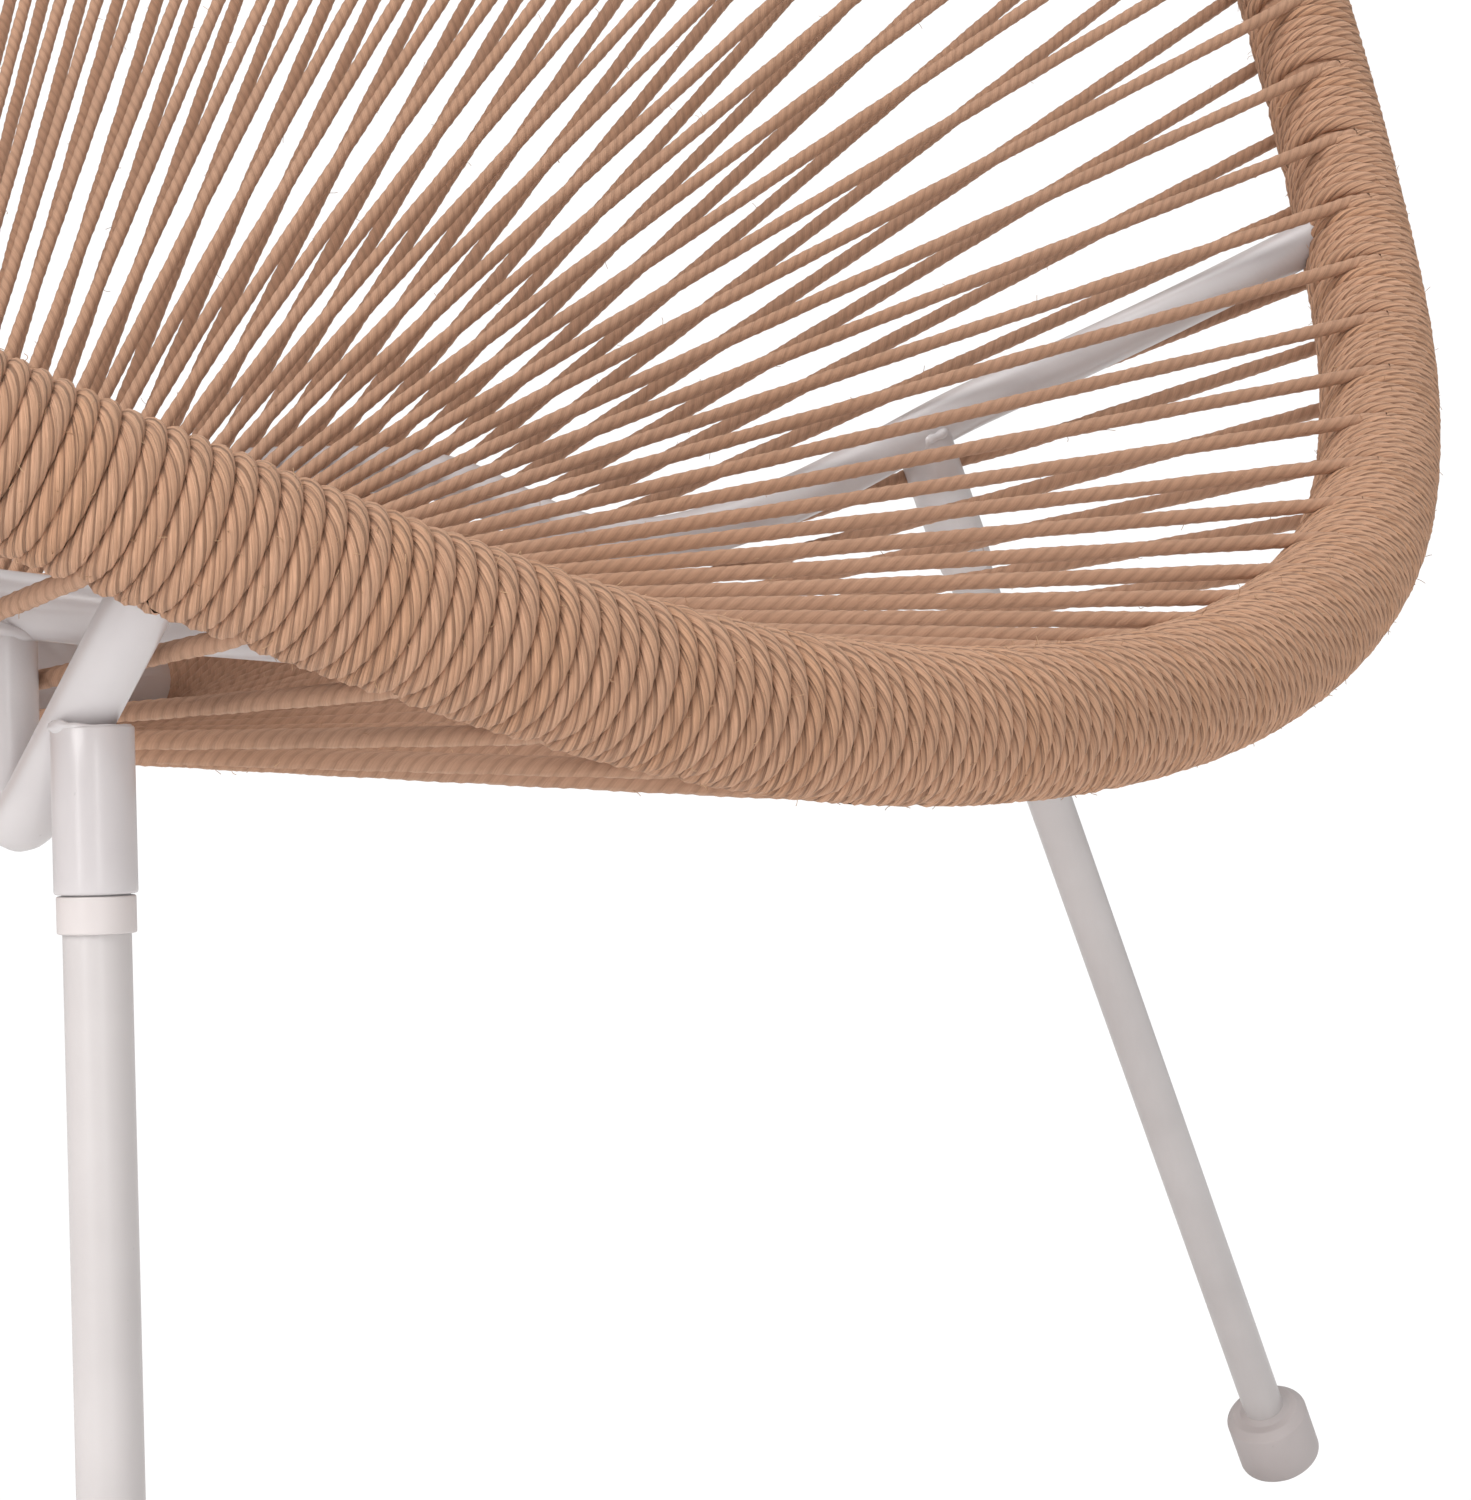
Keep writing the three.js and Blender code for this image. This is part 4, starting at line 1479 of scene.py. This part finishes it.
def build_cord(winding: CordWinding, palette: Palette, tree: bpy.types.NodeTree) -> None:
    """Makes the cord, its loose hairs, and the lower layer of wraps that shows where strands leave.

    Args:
        winding: The cord's lines.
        palette: The materials.
        tree: The sweep node group.
    """
    fuzz = make_fuzz_nodes()
    for sector in range(SECTORS):
        node = sector_node(sector)
        wound, strung, girths = winding.route(sector)
        for name, lay, stretches, shares, material, nodes, hairiness in (
            ("wound", WOUND, wound, None, palette.of(Finish.CORD), (node,), 1.0),
            ("strung", STRUNG, strung, girths, palette.strung, (), FuzzSizes.strung_share),
        ):
            cord = sweep(f"{node}_{name}", tree, stretches, lay, material, shares)
            add_hairs(cord, fuzz, palette.fuzz, sector, hairiness)
            ride(cord, Finish.CORD, *nodes)
    hoop = winding.field.hoop
    for side, start in (("right", 0.0), ("left", 0.5)):
        line, shares = hoop.line(start, start + 0.5, int(hoop.length / 2 / UNDER_POINT_STEP))
        swell = np.abs(np.sin(math.pi * shares * hoop.length / (2 * WOUND.radius)))
        girths = [1 - UNDER_DIP_SHARE * (1 - swell)]
        # The under winding takes the strung cord's darker colours, which are painted shade
        ride(sweep(f"under_winding_{side}", tree, [line], UNDER, palette.strung, girths), Finish.CORD)


def add_hairs(cord: bpy.types.Object, tree: bpy.types.NodeTree, material: bpy.types.Material,
              number: int, share: float) -> None:
    """Grows loose hairs out of a piece of cord.

    Args:
        cord: The piece.
        tree: The fuzz node group.
        material: The hairs' material.
        number: Added to the seed.
        share: Share of the full density.
    """
    s = FuzzSizes()
    hairs = bpy.data.objects.new(f"{cord.name}_hairs", cord.data.copy())
    bpy.context.scene.collection.objects.link(hairs)
    apply_nodes(hairs, tree, {
        "Density": s.density * share, "Length": s.length, "Thickness": s.thickness, "Curl": s.curl,
        "Seed": s.seed + number, "Material": material,
    })
    ride(hairs, Finish.CORD)


# The studio


@dataclass(frozen=True)
class CameraPlace:
    """The camera that matches the photograph: millimetres, degrees and pixels."""

    place: Colour = (598.3, -866.1, 241.1)
    yaw: float = -22.23
    pitch: float = -0.045
    roll: float = -1.4
    focal_pixels: float = 3802.6
    frame_height_pixels: float = 1500.0
    sensor: float = 36.0


@dataclass(frozen=True)
class Lamp:
    """A soft area light aimed at the chair: metres and watts."""

    name: str
    place: Colour
    size: float
    power: float
    colour: Colour = (1.0, 1.0, 1.0)
    height: float | None = None


LAMPS = (
    Lamp("key", (-0.4, -2.8, 2.4), 1.8, 70.0, (1.0, 0.99, 0.98)),
    Lamp("fill", (2.8, -1.6, 1.6), 2.0, 3.0),
    Lamp("top", (0.2, 0.6, 3.0), 2.4, 26.0),
    Lamp("left strip", (-0.3, -2.6, 0.7), 0.14, 8.0, height=1.6),
    Lamp("right strip", (1.9, -2.1, 0.8), 0.14, 8.0, height=1.6),
)
TARGET = (0.0, 0.0, 0.35)
WORLD_LIGHT = 0.48
FLOOR_GLOW = 0.14
FLOOR_REACH = 9000.0
FLOOR_DROP = 0.4
BACKDROP_WHITE = 1.05
WHITE = (1.0, 1.0, 1.0, 1.0)


def add_camera() -> None:
    """Adds the camera and makes it the scene's."""
    look = CameraPlace()
    yaw, pitch, roll = (math.radians(v) for v in (look.yaw, look.pitch, look.roll))
    ahead = Vector((math.sin(yaw) * math.cos(pitch), math.cos(yaw) * math.cos(pitch), math.sin(pitch)))
    right = Vector((math.cos(yaw), -math.sin(yaw), 0.0))
    above = right.cross(ahead)
    right, above = (
        right * math.cos(roll) + above * math.sin(roll),
        above * math.cos(roll) - right * math.sin(roll),
    )
    data = bpy.data.cameras.new("camera")
    data.sensor_width = look.sensor
    data.lens = look.sensor * look.focal_pixels / look.frame_height_pixels
    data.clip_start, data.clip_end = 0.01, 50.0
    camera = bpy.data.objects.new("camera", data)
    axes = Matrix((right, above, -ahead)).transposed()
    camera.matrix_world = Matrix.Translation(Vector(look.place) * MM) @ axes.to_4x4()
    bpy.context.scene.collection.objects.link(camera)
    bpy.context.scene.camera = camera


def add_lamps() -> None:
    """Adds the soft studio lights."""
    for lamp in LAMPS:
        data = bpy.data.lights.new(lamp.name, "AREA")
        data.size = lamp.size
        if lamp.height:
            data.shape, data.size_y = "RECTANGLE", lamp.height
        data.energy = lamp.power
        data.color = lamp.colour
        light = bpy.data.objects.new(lamp.name, data)
        light.location = lamp.place
        light.rotation_euler = (Vector(TARGET) - Vector(lamp.place)).to_track_quat("-Z", "Y").to_euler()
        bpy.context.scene.collection.objects.link(light)


def add_backdrop() -> None:
    """Adds the white world and the pale floor."""
    scene = bpy.context.scene
    scene.view_settings.view_transform = "Standard"
    world = bpy.data.worlds.new("studio")
    world.use_nodes = True
    scene.world = world
    graph = Graph(world.node_tree)
    seen = graph.add("ShaderNodeLightPath").outputs["Is Camera Ray"]
    strength = graph.math("ADD", WORLD_LIGHT, graph.times(seen, BACKDROP_WHITE - WORLD_LIGHT))
    graph.fill(world.node_tree.nodes["Background"], {"Color": WHITE, "Strength": strength})

    material, graph, shader = Palette.start("pale floor")
    where = graph.add("ShaderNodeTexCoord").outputs["Object"]
    graph.fill(shader, {
        "Base Color": graph.mix(graph.noise(where, 1.2, 3.0), (0.88, 0.88, 0.88), (0.92, 0.92, 0.92)),
        "Roughness": 0.9,
        "Emission Color": WHITE,
        "Emission Strength": FLOOR_GLOW,
    })
    seen = graph.add("ShaderNodeLightPath").outputs["Is Camera Ray"]
    white = graph.add("ShaderNodeEmission", {"Color": WHITE, "Strength": BACKDROP_WHITE})
    blend = graph.add("ShaderNodeMixShader", {0: seen, 1: shader, 2: white})
    graph.fill(material.node_tree.nodes["Material Output"], {"Surface": blend})
    square = ((-1, -1), (1, -1), (1, 1), (-1, 1))
    corners = [(x * FLOOR_REACH, y * FLOOR_REACH, -FLOOR_DROP) for x, y in square]
    floor = mesh_object("floor", corners, [(0, 1, 2, 3)], material)


def dress_kept_nodes(palette: Palette) -> None:
    """Gives the CAD nodes that stay their materials."""
    slots = {row["node"]: row["material_slot"] for row in frame["record"]["subparts"]}
    for name, node in frame["nodes"].items():
        node.data.materials.clear()
        node.data.materials.append(palette.of(Finish(slots[name])))


def main() -> None:
    """Builds the whole scene."""
    logging.basicConfig(level=logging.INFO, format="%(name)s %(message)s")
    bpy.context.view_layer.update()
    palette = Palette()
    add_camera()
    add_lamps()
    add_backdrop()
    dress_kept_nodes(palette)
    field = Field()
    tree = make_sweep_nodes()
    steel = SteelFrame(field, palette, tree)
    steel.build()
    legs = make_legs(steel, palette)
    for leg in legs:
        leg.build()
    build_cord(CordWinding(field, leg_obstacles(steel, legs)), palette, tree)


if __name__ == "__main__":
    main()
